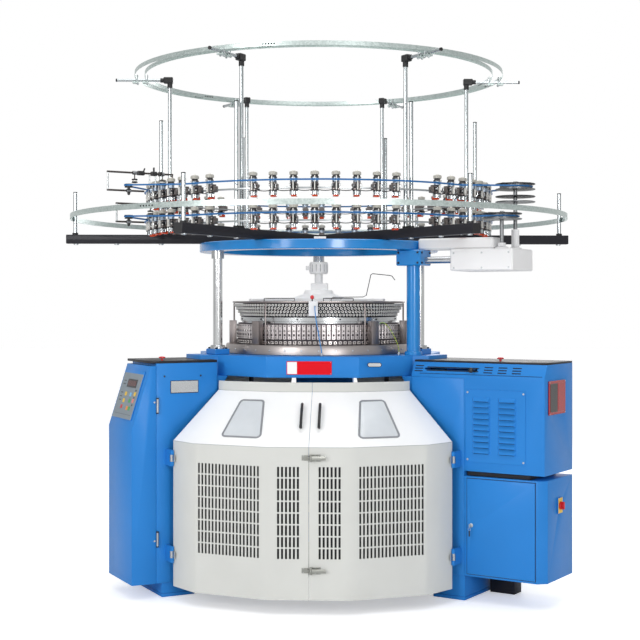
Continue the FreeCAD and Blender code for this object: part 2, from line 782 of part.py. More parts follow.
below_tape = "tape_rise - 2 * disc_thick"
above_tape = "tape_rise + tape_high + disc_thick"
DISC_LEVELS = {"lower": (f"lower_rail + {below_tape}", f"lower_rail + {above_tape}"),
               "upper": (f"upper_rail + {below_tape}", f"upper_rail + {above_tape}",
                         "upper_rail - upper_disc_drop", "upper_rail - lower_disc_drop")}
for tier, (x, y) in SPINDLES.items():
    levels = DISC_LEVELS[tier]
    spindle = prism(f"spindle_{tier}", "spindle_radius", "gearbox_top - shaft_grip + fit_gap",
                    f"{levels[1]} + 3 * disc_thick", x=x, y=y)
    drum = prism(f"drum_{tier}", "drum_radius", f"{levels[0]} + 1", f"{levels[1]} + 1", "wheel_flats", x=x, y=y)
    layers = [spindle, drum]
    for number, level in enumerate(levels):
        layers.append(prism(f"disc_{tier}_{number}", "disc_radius", level, f"{level} + disc_thick",
                            "wheel_flats", x=x, y=y))
    keep(f"drive_pulley_{tier}", fuse(f"drive_pulley_{tier}_blank", *layers), drive_turn)

# ---------------------------------------------------------------- creel beams, posts and hoops
beam_top_level = "(crown_top + creel_beam_high)"
creel_beam = block("creel_beam", "-creel_beam_end", "creel_beam_end", "-creel_beam_half",
                   "creel_beam_half", "crown_top", beam_top_level)
crossing = round_group("beam_crossing", creel_beam, sixfold("creel_turn")[:3]).Shape.Solids
shape_node("creel_beams", crossing[0].fuse(crossing[1:]).removeSplitter())
creel_post = prism("creel_post", "rod_radius", beam_top_level, "creel_post_top", x="creel_post_spot")
hoop_inside = "((creel_post_spot + rod_radius + fit_gap) / cos(180 / hoop_flats))"
keep("creel_hoop", ring("creel_hoop_cut", f"{hoop_inside} + hoop_thick", hoop_inside, "creel_hoop_low",
                        "creel_hoop_low + creel_hoop_high", "hoop_flats", "creel_turn + 180 / hoop_flats"))
stay = prism("stay_post", "rod_radius", beam_top_level, "stay_top", x="stay_spot")
mast = prism("mast_post", "rod_radius", beam_top_level, "joint_low", x="mast_spot")
corner = block("corner_block", "mast_spot - joint_half", "joint_reach", "-joint_half", "joint_half",
               "joint_low", "joint_low + joint_high")
arm_level = "(joint_low + joint_high / 2)"
top_arm = lying("top_arm", "arm_radius", "x", "joint_reach", "arm_end", "0", arm_level)
tubes = together("creel_tubes_one", creel_post, stay, mast, top_arm)
keep("creel_tubes", round_group("creel_tube_set", tubes, sixfold("creel_turn")))
hoop_seat = f"({arm_level} + arm_radius + fit_gap)"
HOOPS = ("outer_hoop", "inner_hoop")
keep("top_hoops", together("hoop_pair", *[
    ring(f"{hoop}_cut", hoop, f"{hoop} - hoop_thick", hoop_seat, f"{hoop_seat} + top_hoop_high", "hoop_flats",
         "creel_turn") for hoop in HOOPS]))
clamps = [block(f"clamp_{hoop}", f"{hoop} - clamp_half", f"{hoop} + clamp_half - hoop_thick", "-clamp_half",
                "clamp_half", f"{arm_level} - arm_radius - fit_gap - clamp_thick",
                f"{arm_level} - arm_radius - fit_gap") for hoop in HOOPS]
fittings = together("arm_fittings_one", corner, *clamps)
keep("arm_fittings", round_group("arm_fitting_set", fittings, sixfold("creel_turn")))

# ---------------------------------------------------------------- yarn feeders, rails and tapes

def sector_angles():
    """Corner angles of the rails: two feeders to each flat and one short flat at each post."""
    half = size("feeder_pitch") * 2
    return [60 * sector + 30 + offset for sector in range(6)
            for offset in (-2 * half, -half, 0, half, 2 * half)]


def polar(radius, angle):
    return Vector(radius * math.cos(math.radians(angle)), radius * math.sin(math.radians(angle)), 0)


def feeder_angles():
    """Feeder places: each sector has its feeders evenly about its middle."""
    count = int(size("sector_feeders"))
    pitch = size("feeder_pitch")
    return [60 * sector + 30 + (place - (count - 1) / 2) * pitch
            for sector in range(6) for place in range(count)]


def tape_path(tier):
    """Round the feeders, out to the drive pulley and out to the tension roller."""
    radius = size("tape_radius")
    spindle = {"lower": (size("lower_spindle"), -size("lower_side")),
               "upper": (size("upper_spindle"), size("upper_side"))}[tier]
    wheel = size("drum_radius + fit_gap")
    idler = size("idler_radius + fit_gap")
    path = []
    for angle in sector_angles():
        if angle == 330:
            away = size("right_turn + head_turn - creel_turn")
            centre = Vector(spindle[0], spindle[1], 0)
            centre = Rotation(Vector(0, 0, 1), away).multVec(centre)
            path += arc_points(centre.x, centre.y, wheel, away - 85, away + 85, 4)
        elif angle == 210:
            centre = polar(size("roller_spot"), angle)
            path += arc_points(centre.x, centre.y, idler, angle - 85, angle + 85, 3)
        else:
            path.append(polar(radius, angle))
    return path


rails = []
feeders = []
tapes = []
tension_arms = []
for tier, rail in (("upper", "upper_rail"), ("lower", "lower_rail")):
    corners = [polar(1, angle) for angle in sector_angles()]
    rims = []
    for radius in ("rail_outer", "rail_inner"):
        rims.append(Part.makePolygon([corner * size(radius) for corner in corners + corners[:1]]))
    rail_face = Part.Face(rims[0]).cut(Part.Face(rims[1])).Faces[0]
    rail_shape = upright(rail_face, size(rail), size(f"{rail} + rail_thick"))
    rails.append(worked(f"feeder_rail_{tier}", rail_shape))
    feeder = block(f"feeder_{tier}", "feeder_back", "feeder_face", "-feeder_half", "feeder_half",
                   f"{rail} - feeder_down", f"{rail} + rail_thick + feeder_up")
    feeders.append(round_group(f"feeders_{tier}", feeder, feeder_angles()))
    tape = loop_band(tape_path(tier), size("tape_thick"), size(f"{rail} + tape_rise"),
                     size(f"{rail} + tape_rise + tape_high"))
    tapes.append(worked(f"tape_{tier}", tape))
    end = f"{tier}_tension_end"
    reach = f"({end} - tension_rod)"
    arm_top = f"({rail} + tension_rise)"
    arm_low = f"({rail} + tension_rise - tension_drop)"
    stub = "(rail_outer - rail_wide / 2)"
    parts = [
        prism(f"tension_stub_{tier}", "tension_rod", f"{rail} + rail_thick", arm_top, "rod_flats", x=stub),
        lying(f"tension_top_{tier}", "tension_rod", "x", stub, end, "0", arm_top, "rod_flats"),
        prism(f"tension_drop_{tier}", "tension_rod", arm_low, arm_top, "rod_flats", x=reach),
        lying(f"tension_low_{tier}", "tension_rod", "x", "roller_spot - tension_back", reach, "0", arm_low,
              "rod_flats")]
    tension_arms.append(together(f"tension_arm_{tier}", fuse(f"tension_arm_{tier}_blank", *parts), turn="210"))
    keep(f"idler_{tier}", prism(f"idler_wheel_{tier}", "idler_radius", f"{arm_low} + tension_rod + fit_gap",
                                f"{rail} + tape_rise + tape_high + 4", "wheel_flats", x="roller_spot"),
         "creel_turn + 210")
keep("feeder_rails", together("rail_set", *rails, *tension_arms), "creel_turn")
keep("yarn_feeders", together("feeder_set", *feeders), "creel_turn")
keep("drive_tapes", together("tape_set", *tapes), "creel_turn")

# ---------------------------------------------------------------- lint blower
rim_top = "guide_rim_top"
stand_parts = [block("blower_motor", "-blower_motor_left", "blower_motor_right", "-blower_motor_half",
                     "blower_motor_half", "stand_top - 1", "blower_motor_top")]
for side, turn in THREE_LEGS.items():
    bar = block(f"stand_bar_{side}_bar", "0", "guide_outer", "-stand_thick", "stand_thick",
                rim_top, f"{rim_top} + stand_thick")
    stand_parts.append(together(f"stand_bar_{side}", bar, turn=turn))


def ring_of(radius, level, flats):
    step = 360 / flats
    return [polar(radius, step * i) + Vector(0, 0, level) for i in range(flats)]


def flat_sided(low, high):
    """A solid of flat faces between two outlines with as many corners."""
    faces = [Part.Face(Part.makePolygon(low + low[:1])), Part.Face(Part.makePolygon(high + high[:1]))]
    count = len(low)
    for i in range(count):
        after = (i + 1) % count
        faces.append(Part.Face(Part.makePolygon([low[i], low[after], high[after], high[i], low[i]])))
    solid = Part.makeSolid(Part.makeShell(faces))
    return solid if solid.Volume > 0 else solid.reversed()


cone = flat_sided(ring_of(size("stand_radius"), size(rim_top), int(size("wheel_flats"))),
                  ring_of(size("stand_neck"), size("stand_top"), int(size("wheel_flats"))))
keep("blower_stand", fuse("blower_stand_blank", *stand_parts, worked("stand_cone", cone)))
neck = prism("blower_neck_round", "blower_neck", "blower_motor_top + fit_gap", "blower_neck_top + 1",
             "wheel_flats")
blower_drum = prism("blower_drum", "blower_head", "blower_neck_top", "blower_top", "wheel_flats")
nozzle = lying("blower_nozzle", "blower_neck / 2", "x", "-blower_head - nozzle_reach", "0", "0",
               "(blower_neck_top + blower_top) / 2")
keep("blower_head", fuse("blower_head_blank", neck, blower_drum, nozzle))

# ---------------------------------------------------------------- guards
# Folded sheet: upright lower wall, a hood leaning in above the shoulder, an upright collar.
lean = "(guard_side_front - guard_front) / (guard_side - guard_middle)"
end_lean = "(guard_end_front - guard_side_front) / (guard_end - guard_side)"
collar_side_front = f"(collar_front + {lean} * (collar_side - collar_middle))"
collar_end_front = f"({collar_side_front} + {end_lean} * (collar_end - collar_side))"
SHOULDER_CORNERS = [("guard_middle", "guard_front"), ("guard_side", "guard_side_front"),
                    ("guard_end", "guard_end_front")]
COLLAR_CORNERS = [("collar_middle", "collar_front"), ("collar_side", collar_side_front),
                  ("collar_end", collar_end_front)]


def guard_outline(corners, half, depth, level):
    """Plan outline of a guard's sheet at one level; a half starts at the split."""
    front = [Vector(size(x), -size(y), 0) for x, y in corners]
    split = size("fit_gap")
    start = Vector(split, front[0].y, 0)
    if half:
        line = [start] + front
    else:
        line = [Vector(-p.x, p.y, 0) for p in reversed(front)] + front
    inner = inset(line, depth)
    return [point + Vector(0, 0, level) for point in line + inner[::-1]]


def inset(line, depth):
    """The line moved inward by a depth, its ends kept on their own edges."""
    normals = []
    for first, second in zip(line, line[1:]):
        along = (second - first).normalize()
        normals.append(Vector(-along.y, along.x, 0))
    moved = [line[0] + normals[0] * depth]
    for point, before, after in zip(line[1:], normals, normals[1:]):
        bisector = (before + after).normalize()
        moved.append(point + bisector * (depth / bisector.dot(after)))
    moved.append(line[-1] + normals[-1] * depth)
    return moved


def guard_sheet(half):
    depth = size("sheet")
    shoulder = guard_outline(SHOULDER_CORNERS, half, depth, size("shoulder"))
    floor_line = guard_outline(SHOULDER_CORNERS, half, depth, size("guard_low"))
    collar = guard_outline(COLLAR_CORNERS, half, depth, size("collar_low"))
    top = guard_outline(COLLAR_CORNERS, half, depth, size("collar_top"))
    wall = flat_sided(floor_line, shoulder)
    return wall.fuse([flat_sided(shoulder, collar), flat_sided(collar, top)]).removeSplitter()


def slot_grid(columns, middle, start, direction):
    """Cutters for a field of slots centred on a point of the lower wall."""
    rows = int(size("grille_rows"))
    pitch = size("column_pitch")
    tall = size("slot_tall")
    wide = size("slot_wide")
    row_pitch = size("grille_high / grille_rows")
    slots = []
    for column in range(columns):
        for row in range(rows):
            across = (column - (columns - 1) / 2) * pitch
            up = size("grille_low") + row * row_pitch + (row_pitch - tall) / 2
            slots.append(Part.makeBox(wide, 40, tall, Vector(across - wide / 2, -20, up)))
    field = Part.makeCompound(slots)
    field.Placement = Placement(middle, Rotation(Vector(0, 0, 1), direction))
    return field


def facet(corners, first):
    """Middle and heading of one lower-wall facet."""
    a, b = [Vector(size(x), -size(y), 0) for x, y in corners[first:first + 2]]
    return (a + b) * 0.5, math.degrees(math.atan2(b.y - a.y, b.x - a.x))


side_middle, side_heading = facet(SHOULDER_CORNERS, 0)


def hood_window(depth, shrink):
    """The window in the hood's side facet, as a slab square to the hood."""
    low_a, low_b = [Vector(size(x), -size(y), size("shoulder")) for x, y in SHOULDER_CORNERS[:2]]
    high_a, high_b = [Vector(size(x), -size(y), size("collar_low")) for x, y in COLLAR_CORNERS[:2]]
    corners = []
    for across, up in ((0.13, 0.16), (0.67, 0.16), (0.62, 0.82), (0.24, 0.82)):
        low = low_a + (low_b - low_a) * across
        high = high_a + (high_b - high_a) * across
        corners.append(low + (high - low) * up)
    middle = (corners[0] + corners[1] + corners[2] + corners[3]) * 0.25
    corners = [point + (middle - point).normalize() * shrink for point in corners]
    normal = (low_b - low_a).cross(high_a - low_a).normalize()
    face = Part.Face(Part.makePolygon(corners + corners[:1]))
    face.translate(normal * -depth)
    return face.extrude(normal * (2 * depth))


pin_flats = int(size("tube_flats"))


def hinge_tab(level):
    """Knuckle on the leaf's end edge, bored for the hinge pin."""
    x, y = size("hinge_spot"), -size("hinge_side")
    half = size("knuckle_half")
    barrel = round_bar(size("hinge_radius"), level - half, level + half, pin_flats)
    barrel.translate(Vector(x, y, 0))
    reach = size("tab_reach")
    thick = size("tab_thick")
    tab = Part.makeBox(reach, thick, 2 * half, Vector(x - reach, y - thick / 2, level - half))
    pin_bore = round_bar(size("(hinge_pin + bore_gap) / cos(180 / tube_flats)"), level - half - 1,
                         level + half + 1, pin_flats)
    pin_bore.translate(Vector(x, y, 0))
    return barrel.fuse(tab).cut(pin_bore)


hinge_levels = (size("hinge_upper"), size("hinge_lower"))
tabs = Part.makeCompound([hinge_tab(level) for level in hinge_levels])
tabs.rotate(Vector(), Vector(0, 0, 1), size("right_turn"))
gate = guard_sheet(True)
gate = gate.fuse([tab for tab in tabs.Solids])
middle_spot = Vector(size("middle_grille_spot"), -size("guard_front"), 0)
gate = gate.cut([slot_grid(int(size("side_columns")), side_middle, 0, side_heading),
                 slot_grid(int(size("middle_columns")), middle_spot, 0, 0),
                 hood_window(20, 0)])
pane = hood_window(1.5, size("fit_gap") * 1.5)
shape_node("pane_right", pane)
shape_node("pane_left", pane.mirror(Vector(), Vector(1, 0, 0)))

rear_guards = []
for angle in (120, -120):
    guard = guard_sheet(False)
    guard.rotate(Vector(), Vector(0, 0, 1), angle)
    rear_guards.append(guard)


def hinge_post(level):
    """Fixed half of a gate hinge: a block on the leg cover, two ears and the pin."""
    x, y = size("hinge_spot"), -size("hinge_side")
    half = size("hinge_half")
    ear_low = size("knuckle_half + fit_gap")
    ear = size("hinge_ear")
    room = size("hinge_radius + 1")
    back = -size("front_plane + fit_gap")
    bracket = Part.makeBox(2 * ear, back - y + ear, 2 * half, Vector(x - ear, y - ear, level - half))
    knuckle_room = Part.makeBox(2 * room, 2 * room, 2 * ear_low, Vector(x - room, y - room, level - ear_low))
    pin = round_bar(size("hinge_pin"), level - half, level + half, pin_flats)
    pin.translate(Vector(x, y, 0))
    return bracket.cut(knuckle_room).fuse(pin).removeSplitter()


posts = Part.makeCompound([hinge_post(level) for level in hinge_levels])
posts.rotate(Vector(), Vector(0, 0, 1), size("right_turn"))
shape_node("gate_hinges", Part.makeCompound([posts, posts.mirror(Vector(), Vector(1, 0, 0))]))

end_corner = Vector(size("guard_end"), -size("guard_end_front"), 0)
end_corner = Rotation(Vector(0, 0, 1), -size("right_turn")).multVec(end_corner)
bracket_start = Vector(end_corner.x - size("sheet + fit_gap + guard_bracket_wide"), end_corner.y, 0)
guard_bracket = Part.makeBox(size("guard_bracket_wide"), -end_corner.y - size("leg_half"),
                             size("guard_bracket_high"), bracket_start)
brackets = []
for level in hinge_levels:
    for turn, flip in (("right_turn", True), ("rear_turn", False), ("rear_turn", True), ("left_turn", False)):
        piece = guard_bracket.copy()
        piece.translate(Vector(0, 0, level))
        if flip:
            piece = piece.mirror(Vector(), Vector(0, 1, 0))
        piece.rotate(Vector(), Vector(0, 0, 1), size(turn))
        brackets.append(piece)
shape_node("rear_guards", Part.makeCompound(rear_guards + brackets))


def latch_pin_bar(radius, half, level):
    """A bar of flats on the latch pin's axis."""
    bar = round_bar(radius, level - half, level + half, pin_flats)
    bar.translate(Vector(size("latch_spot"), -size("guard_front + latch_stand"), 0))
    return bar


def gate_latch(level):
    """Toggle lever on an upright pin, its hook beside the keeper of the other leaf."""
    spot = size("latch_spot")
    face = -size("guard_front + latch_stand")
    thick = size("latch_thick")
    half = size("latch_half")
    reach = size("hook_reach")
    hook_half = size("hook_half")
    ear_room = size("latch_ear - latch_ear_thick - fit_gap")
    lever = Part.makeBox(size("latch_long"), thick, 2 * half, Vector(spot, face - thick / 2, level - half))
    hook = Part.makeBox(reach, thick - 2, 2 * hook_half, Vector(spot - reach, face - 2, level - hook_half))
    knuckle = latch_pin_bar(size("latch_knuckle"), ear_room, level)
    eye = latch_pin_bar(size("(latch_pin + bore_gap) / cos(180 / tube_flats)"), ear_room + 1, level)
    return lever.fuse([knuckle, hook]).cut(eye)


def latch_base(level):
    """Plate with two ears and the pin that carry the lever on the right leaf."""
    ear = size("latch_ear")
    ear_thick = size("latch_ear_thick")
    ear_deep = size("latch_stand + latch_knuckle")
    left = size("latch_spot - latch_knuckle + 2")
    face = -size("guard_front + fit_gap")
    thick = size("latch_plate_thick")
    pieces = [Part.makeBox(size("latch_plate"), thick, 2 * ear, Vector(left, face - thick, level - ear))]
    for low in (-ear, ear - ear_thick):
        pieces.append(Part.makeBox(size("2 * latch_knuckle - 2"), ear_deep - 4, ear_thick,
                                   Vector(left, face + 0.3 - ear_deep, level + low)))
    pieces.append(latch_pin_bar(size("latch_pin"), ear - 1, level))
    return pieces[0].fuse(pieces[1:]).removeSplitter()


def latch_keeper(level):
    """Bent keeper on the left leaf."""
    face = -size("guard_front + fit_gap")
    thick = size("latch_plate_thick")
    foot = size("keeper_foot")
    keeper = size("keeper_thick")
    half = size("latch_half - 2")
    stand = size("latch_stand + 4")
    right = -size("keeper_gap") + 6
    plate = Part.makeBox(foot, thick, 2 * half + 12, Vector(right - 1 - foot, face - thick, level - half - 6))
    post_start = Vector(right - keeper, -size("guard_front") - stand, level - half)
    post = Part.makeBox(keeper, stand - thick, 2 * half, post_start)
    return plate.fuse(post).removeSplitter()


latch_levels = {"upper": size("latch_upper"), "lower": size("latch_lower")}
for name, level in latch_levels.items():
    shape_node(f"latch_{name}", gate_latch(level))
latch_bases = [latch_base(level) for level in latch_levels.values()]
latch_keepers = [latch_keeper(level) for level in latch_levels.values()]
shape_node("gate_right", Part.makeCompound([gate] + latch_bases))
shape_node("gate_left", Part.makeCompound([gate.mirror(Vector(), Vector(1, 0, 0))] + latch_keepers))

# ---------------------------------------------------------------- left cover and console
# The local frame of the left leg has +Y toward the front, that of the right leg has -Y.
collar_edge = "(collar_low + fit_gap)"
cover_face = [("cover_edge", "cover_low"), ("cover_reach", "cover_low"), ("cover_reach", "left_top"),
              ("cover_inner", "left_top"), ("cover_inner", collar_edge), ("cover_edge", "shoulder")]
cover_front = pad("cover_front", "XZ", cover_face, "leg_half + fit_gap", "front_plane")
cover_wall = block("cover_wall", "leg_outer + fit_gap", "cover_reach", "-front_plane", "leg_half + 1",
                   "cover_low", "left_top")
cover_head = block("cover_head", "cover_inner", "cover_reach", "-front_plane", "front_plane",
                   "bed_low + fit_gap", "left_top")
pad_room = block("pad_room", "cover_inner - 1", "pad_reach + fit_gap", "-pad_half - fit_gap",
                 "pad_half + fit_gap", "bed_low", "bed_top + 1")
left_cover = cut("cover_left_cut", fuse("cover_left_blank", cover_front, cover_wall, cover_head), pad_room)
left_plate = block("left_plate_box", "cover_inner", "console_top_reach", "-front_plane", "front_plane",
                   "left_top", "left_top + left_plate")
left_button = ("cover_edge + left_button_spot", "front_plane - left_button_side")
button_hole = prism("left_button_hole", "button_stem + bore_gap / cos(180 / tube_flats)", "left_top",
                    "left_top + left_plate + 1", x=left_button[0], y=left_button[1])
plate_room = block("plate_room", "cover_inner - 1", "pad_reach + fit_gap", "-pad_half - fit_gap",
                   "pad_half + fit_gap", "left_top - 1", "left_top + left_plate + 1")
left_plate_open = cut("left_plate_open", cut("left_plate_notch", left_plate, plate_room), button_hole)

console_lean = "(console_outer - console_top_reach) / (console_top - console_bend)"
console = pad("console_body", "XZ", [
    ("cover_reach + fit_gap", "cover_low"), ("console_outer", "cover_low"), ("console_outer", "console_bend"),
    ("console_top_reach", "console_top"), ("cover_reach + fit_gap", "console_top")],
    "-front_plane", "front_plane")


def on_lean(up, out):
    """A point of the console's leaning face, as formulas."""
    return (f"console_outer - ({up}) * {console_lean} + ({out})",
            f"console_bend + ({up}) + ({out}) * {console_lean}")


key_panel = pad("key_panel_body", "XZ", [
    on_lean("key_panel_low", "fit_gap"), on_lean("key_panel_low", "key_panel_thick"),
    on_lean("key_panel_high", "key_panel_thick"), on_lean("key_panel_high", "fit_gap")],
    "-key_panel_back", "key_panel_front")
keep("console", together("console_set", console, key_panel), "left_turn")


def stop_button(name, turn, x, y, plate_top):
    """Mushroom button whose stem runs in the top plate."""
    head_low = f"{plate_top} + button_lift"
    stem = prism(f"{name}_stem", "button_stem", f"{plate_top} - button_grip", f"{head_low} + 1", x=x, y=y)
    head = prism(f"{name}_head", "button_head", head_low, f"{head_low} + button_high", "wheel_flats", x=x, y=y)
    keep(name, fuse(f"{name}_blank", stem, head), turn)


stop_button("stop_button_left", "left_turn", *left_button, "left_top + left_plate")

# ---------------------------------------------------------------- right cover, housing and slider
right_cover = pad("right_cover_front", "XZ", [
    ("cover_edge", "cabinet_low"), ("leg_outer", "cabinet_low"), ("leg_outer", "bed_low"),
    ("cover_inner", "bed_low"), ("cover_inner", collar_edge), ("cover_edge", "shoulder")],
    "-front_plane", "-leg_half - fit_gap")
keep("leg_covers", together("cover_pair", together("cover_left", left_cover, turn="left_turn"),
                            together("cover_right", right_cover, turn="right_turn")))


def housing_section(low, inset_by):
    """Section across the housing, its front leaning back above the shoulder."""
    front = f"-(front_plane - {inset_by})"
    top = f"housing_top - {inset_by}"
    return [(front, low), (f"back_plane - {inset_by}", low), (f"back_plane - {inset_by}", top),
            (f"-(front_plane - housing_lean - {inset_by})", top), (front, "housing_shoulder")]


main_box = pad("housing_main", "YZ", housing_section("housing_low", "0"), "cabinet_inner", "cabinet_outer")
bridge = pad("housing_bridge", "YZ", housing_section("bed_low + fit_gap", "0"), "cover_inner",
             "cabinet_inner + 1")
main_room = pad("housing_room", "YZ", housing_section("housing_low + wall", "wall"), "cabinet_inner + wall",
                "cabinet_outer - wall")
bridge_room = pad("bridge_room", "YZ", housing_section("bed_low - 1", "wall"), "cover_inner - 1",
                  "cabinet_inner + wall + 1")
motor_room = block("motor_room", "cabinet_inner - 1", "cabinet_inner + wall + 1", "-motor_radius / 2 - fit_gap",
                   "motor_radius / 2 + fit_gap", "motor_low - fit_gap", "motor_top")
panel_way = block("panel_way", "panel_left + panel_lap", "panel_right - panel_lap", "-front_plane - 1",
                  "-front_plane + wall + 1", "louvre_panel_low + panel_lap", "louvre_panel_high - panel_lap")
slider_room = block("slider_room", "slider_low", "slider_high", "-front_plane - 1", "-front_plane + 60",
                    "slot_level - slider_half", "slot_level + slider_half")
side_room = block("side_room", "cabinet_outer - wall - 1", "cabinet_outer + 1", "-window_front + 20",
                  "window_back - 20", "window_low + 20", "window_high - 20")
right_button = ("lower_spindle + right_button_spot", "right_button_side - front_plane")
right_hole = prism("right_button_hole", "button_stem + bore_gap / cos(180 / tube_flats)",
                   "housing_top - wall - 1", "housing_top + right_plate + 1", x=right_button[0],
                   y=right_button[1])
right_pad_room = block("right_pad_room", "cover_inner - 2", "pad_reach + fit_gap", "-pad_half - fit_gap",
                       "pad_half + fit_gap", "bed_low - 2", "housing_top + right_plate + 1")
housing = cut("housing_hollow", fuse("housing_blank", main_box, bridge),
              fuse("housing_rooms", main_room, bridge_room))
for number, tool in enumerate((motor_room, panel_way, slider_room, side_room, right_pad_room)):
    housing = cut(f"housing_cut_{number}", housing, tool)
keep("housing_right", housing, "right_turn")
right_plate = block("right_plate_box", "cover_inner", "cabinet_outer", "-(front_plane - housing_lean)",
                    "back_plane", "housing_top", "housing_top + right_plate")
right_plate_open = cut("right_plate_open", right_plate, right_pad_room)
right_plate_cut = cut("top_plate_right_cut", right_plate_open, right_hole)
keep("top_plates", together("plate_pair", together("top_plate_left", left_plate_open, turn="left_turn"),
                            together("top_plate_right", right_plate_cut, turn="right_turn")))
stop_button("stop_button_right", "right_turn", *right_button, "housing_top + right_plate")

louvres = []
panel_left = size("panel_left")
panel_wide = size("panel_right - panel_left")
panel_low = size("louvre_panel_low")
panel_high = size("louvre_panel_high - louvre_panel_low")
panel_thick = size("panel_thick")
panel_face = -size("front_plane + fit_gap + panel_thick")
louvre_wide = size("louvre_wide")
louvre_pitch = (panel_high - 2 * size("louvre_start")) / size("louvre_rows")
for column in (0.27, 0.70):
    for row in range(int(size("louvre_rows"))):
        spot = Vector(panel_left + panel_wide * column - louvre_wide / 2, panel_face - 1,
                      panel_low + size("louvre_start") + row * louvre_pitch)
        louvres.append(Part.makeBox(louvre_wide, panel_thick + 2, size("louvre_high"), spot))
panel_plate = Part.makeBox(panel_wide, panel_thick, panel_high, Vector(panel_left, panel_face, panel_low))
louvre_panel = panel_plate.cut(louvres)
louvre_panel.rotate(Vector(), Vector(0, 0, 1), size("right_turn"))
shape_node("louvre_panel", louvre_panel)

side_frame = block("side_frame", "cabinet_outer + fit_gap", "cabinet_outer + 8", "-window_front", "window_back",
                   "window_low", "window_high")
keep("side_window", side_frame, "right_turn")

slider_stem = lying("slider_rod", "slider_stem", "y", "-front_plane - 14", "-front_plane + 70",
                    "slider_high - 20", "slot_level")
slider_knob = lying("slider_knob_ball", "16", "y", "-front_plane - 34", "-front_plane - 10", "slider_high - 20",
                    "slot_level", "wheel_flats")
keep("slider_knob", fuse("slider_blank", slider_stem, slider_knob), "right_turn")

# ---------------------------------------------------------------- electrical cabinet


def cabinet_plan(inset_by):
    outer = f"cabinet_outer - {inset_by}"
    front = f"-(front_plane - {inset_by})"
    back = f"leg_half - {inset_by}"
    corner = f"cabinet_chamfer - {inset_by} * 0.41"
    return [(f"cabinet_inner + {inset_by}", back), (f"cabinet_inner + {inset_by}", front),
            (f"{outer} - ({corner})", front), (outer, f"{front} + ({corner})"), (outer, back)]


cabinet_blank = pad("cabinet_blank", "XY", cabinet_plan("0"), "cabinet_low", "cabinet_high")
cabinet_room = pad("cabinet_room", "XY", cabinet_plan("wall"), "cabinet_low + wall", "cabinet_high - wall")
door_way = block("door_way", "door_left + 14", "door_right - 14", "-front_plane - 1", "-front_plane + wall + 1",
                 "door_low + 14", "door_high - 14")
switch_bore = lying("switch_bore", "(switch_stem + bore_gap) / cos(180 / tube_flats)", "x",
                    "cabinet_outer - wall - 1", "cabinet_outer + 20", "0", "switch_level")
cabinet_hollow = cut("cabinet_hollow", cabinet_blank, cabinet_room)
cabinet_case = cut("cabinet_cut", cut("cabinet_open", cabinet_hollow, door_way), switch_bore)
stand_foot = block("stand_foot", "cabinet_inner + 20", "cabinet_inner + 180", "leg_half - 100", "leg_half",
                   "0", "cabinet_low")
switch_plate = block("switch_plate_box", "cabinet_outer + fit_gap", "cabinet_outer + switch_plate",
                     "-switch_half", "switch_half", "switch_level - switch_tall", "switch_level + switch_tall")
keep("electrical_cabinet", together("cabinet_set", cabinet_case, stand_foot,
                                    cut("switch_plate_cut", switch_plate, switch_bore)), "right_turn")
door_plate = block("door_plate", "door_left", "door_right", "-front_plane - fit_gap - door_thick",
                   "-front_plane - fit_gap", "door_low", "door_high")
lock_bore = lying("lock_bore", "(lock_radius + bore_gap) / cos(180 / wheel_flats)", "y", "-front_plane - 20",
                  "-front_plane + 1", "lock_spot", "lock_level", "wheel_flats")
keep("cabinet_door", cut("door_cut", door_plate, lock_bore), "right_turn")
lock_barrel = lying("lock_barrel", "lock_radius", "y", "-front_plane - lock_reach", "-front_plane + 1",
                    "lock_spot", "lock_level", "wheel_flats")
key_bow = block("key_bow", "lock_spot - key_half", "lock_spot + key_half", "-front_plane - key_reach",
                "-front_plane - lock_reach + 1", "lock_level - key_drop", "lock_level + key_rise")
keep("door_lock", fuse("lock_blank", lock_barrel, key_bow), "right_turn")
switch_front = "(cabinet_outer + switch_plate + switch_deep)"
switch_stub = lying("switch_stub", "switch_stem", "x", "cabinet_outer - 2", f"{switch_front} - 1", "0",
                    "switch_level")
switch_disc = lying("switch_disc", "switch_disc", "x", "cabinet_outer + switch_plate + fit_gap", switch_front,
                    "0", "switch_level", "wheel_flats")
switch_grip = block("switch_grip", f"{switch_front} - 1", f"{switch_front} + switch_grip_reach", "-switch_grip",
                    "switch_grip", "switch_level - switch_grip_half", "switch_level + switch_grip_half")
keep("main_switch", fuse("switch_blank", switch_stub, switch_disc, switch_grip), "right_turn")
back_board = block("back_board", "cabinet_inner + 40", "cabinet_outer - 60", "leg_half - wall - fit_gap - 3",
                   "leg_half - wall - fit_gap", "cabinet_low + 40", "cabinet_high - 40")
gear_rows = []
for row, (left, right) in enumerate((("60", "220"), ("260", "420"), ("60", "420"))):
    base = f"cabinet_low + 90 + {row} * 170"
    gear_rows.append(block(f"switch_gear_{row}", f"cabinet_inner + {left}", f"cabinet_inner + {right}",
                           "leg_half - wall - 90", "leg_half - wall - 3", base, f"{base} + 100"))
keep("switch_gear", fuse("switch_gear_blank", back_board, *gear_rows), "right_turn")

# ---------------------------------------------------------------- checks and files
doc.recompute()
for thing in doc.Objects:
    if "Invalid" in thing.State or "Error" in thing.State:
        raise RuntimeError(f"{thing.Name} failed: {thing.State}")

os.makedirs("parts", exist_ok=True)
for thing in nodes:
    shape = thing.Shape
    if shape.isNull() or not shape.isValid() or not shape.Solids:
        raise RuntimeError(f"{thing.Label} has no valid solid")
    shape.exportStep(f"parts/{thing.Label}.step")
print(len(nodes), "sub-parts written")
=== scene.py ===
from itertools import product
from math import atan2, copysign, cos, pi, radians, sin, tan

import bmesh
import bpy
from mathutils import Matrix, Vector


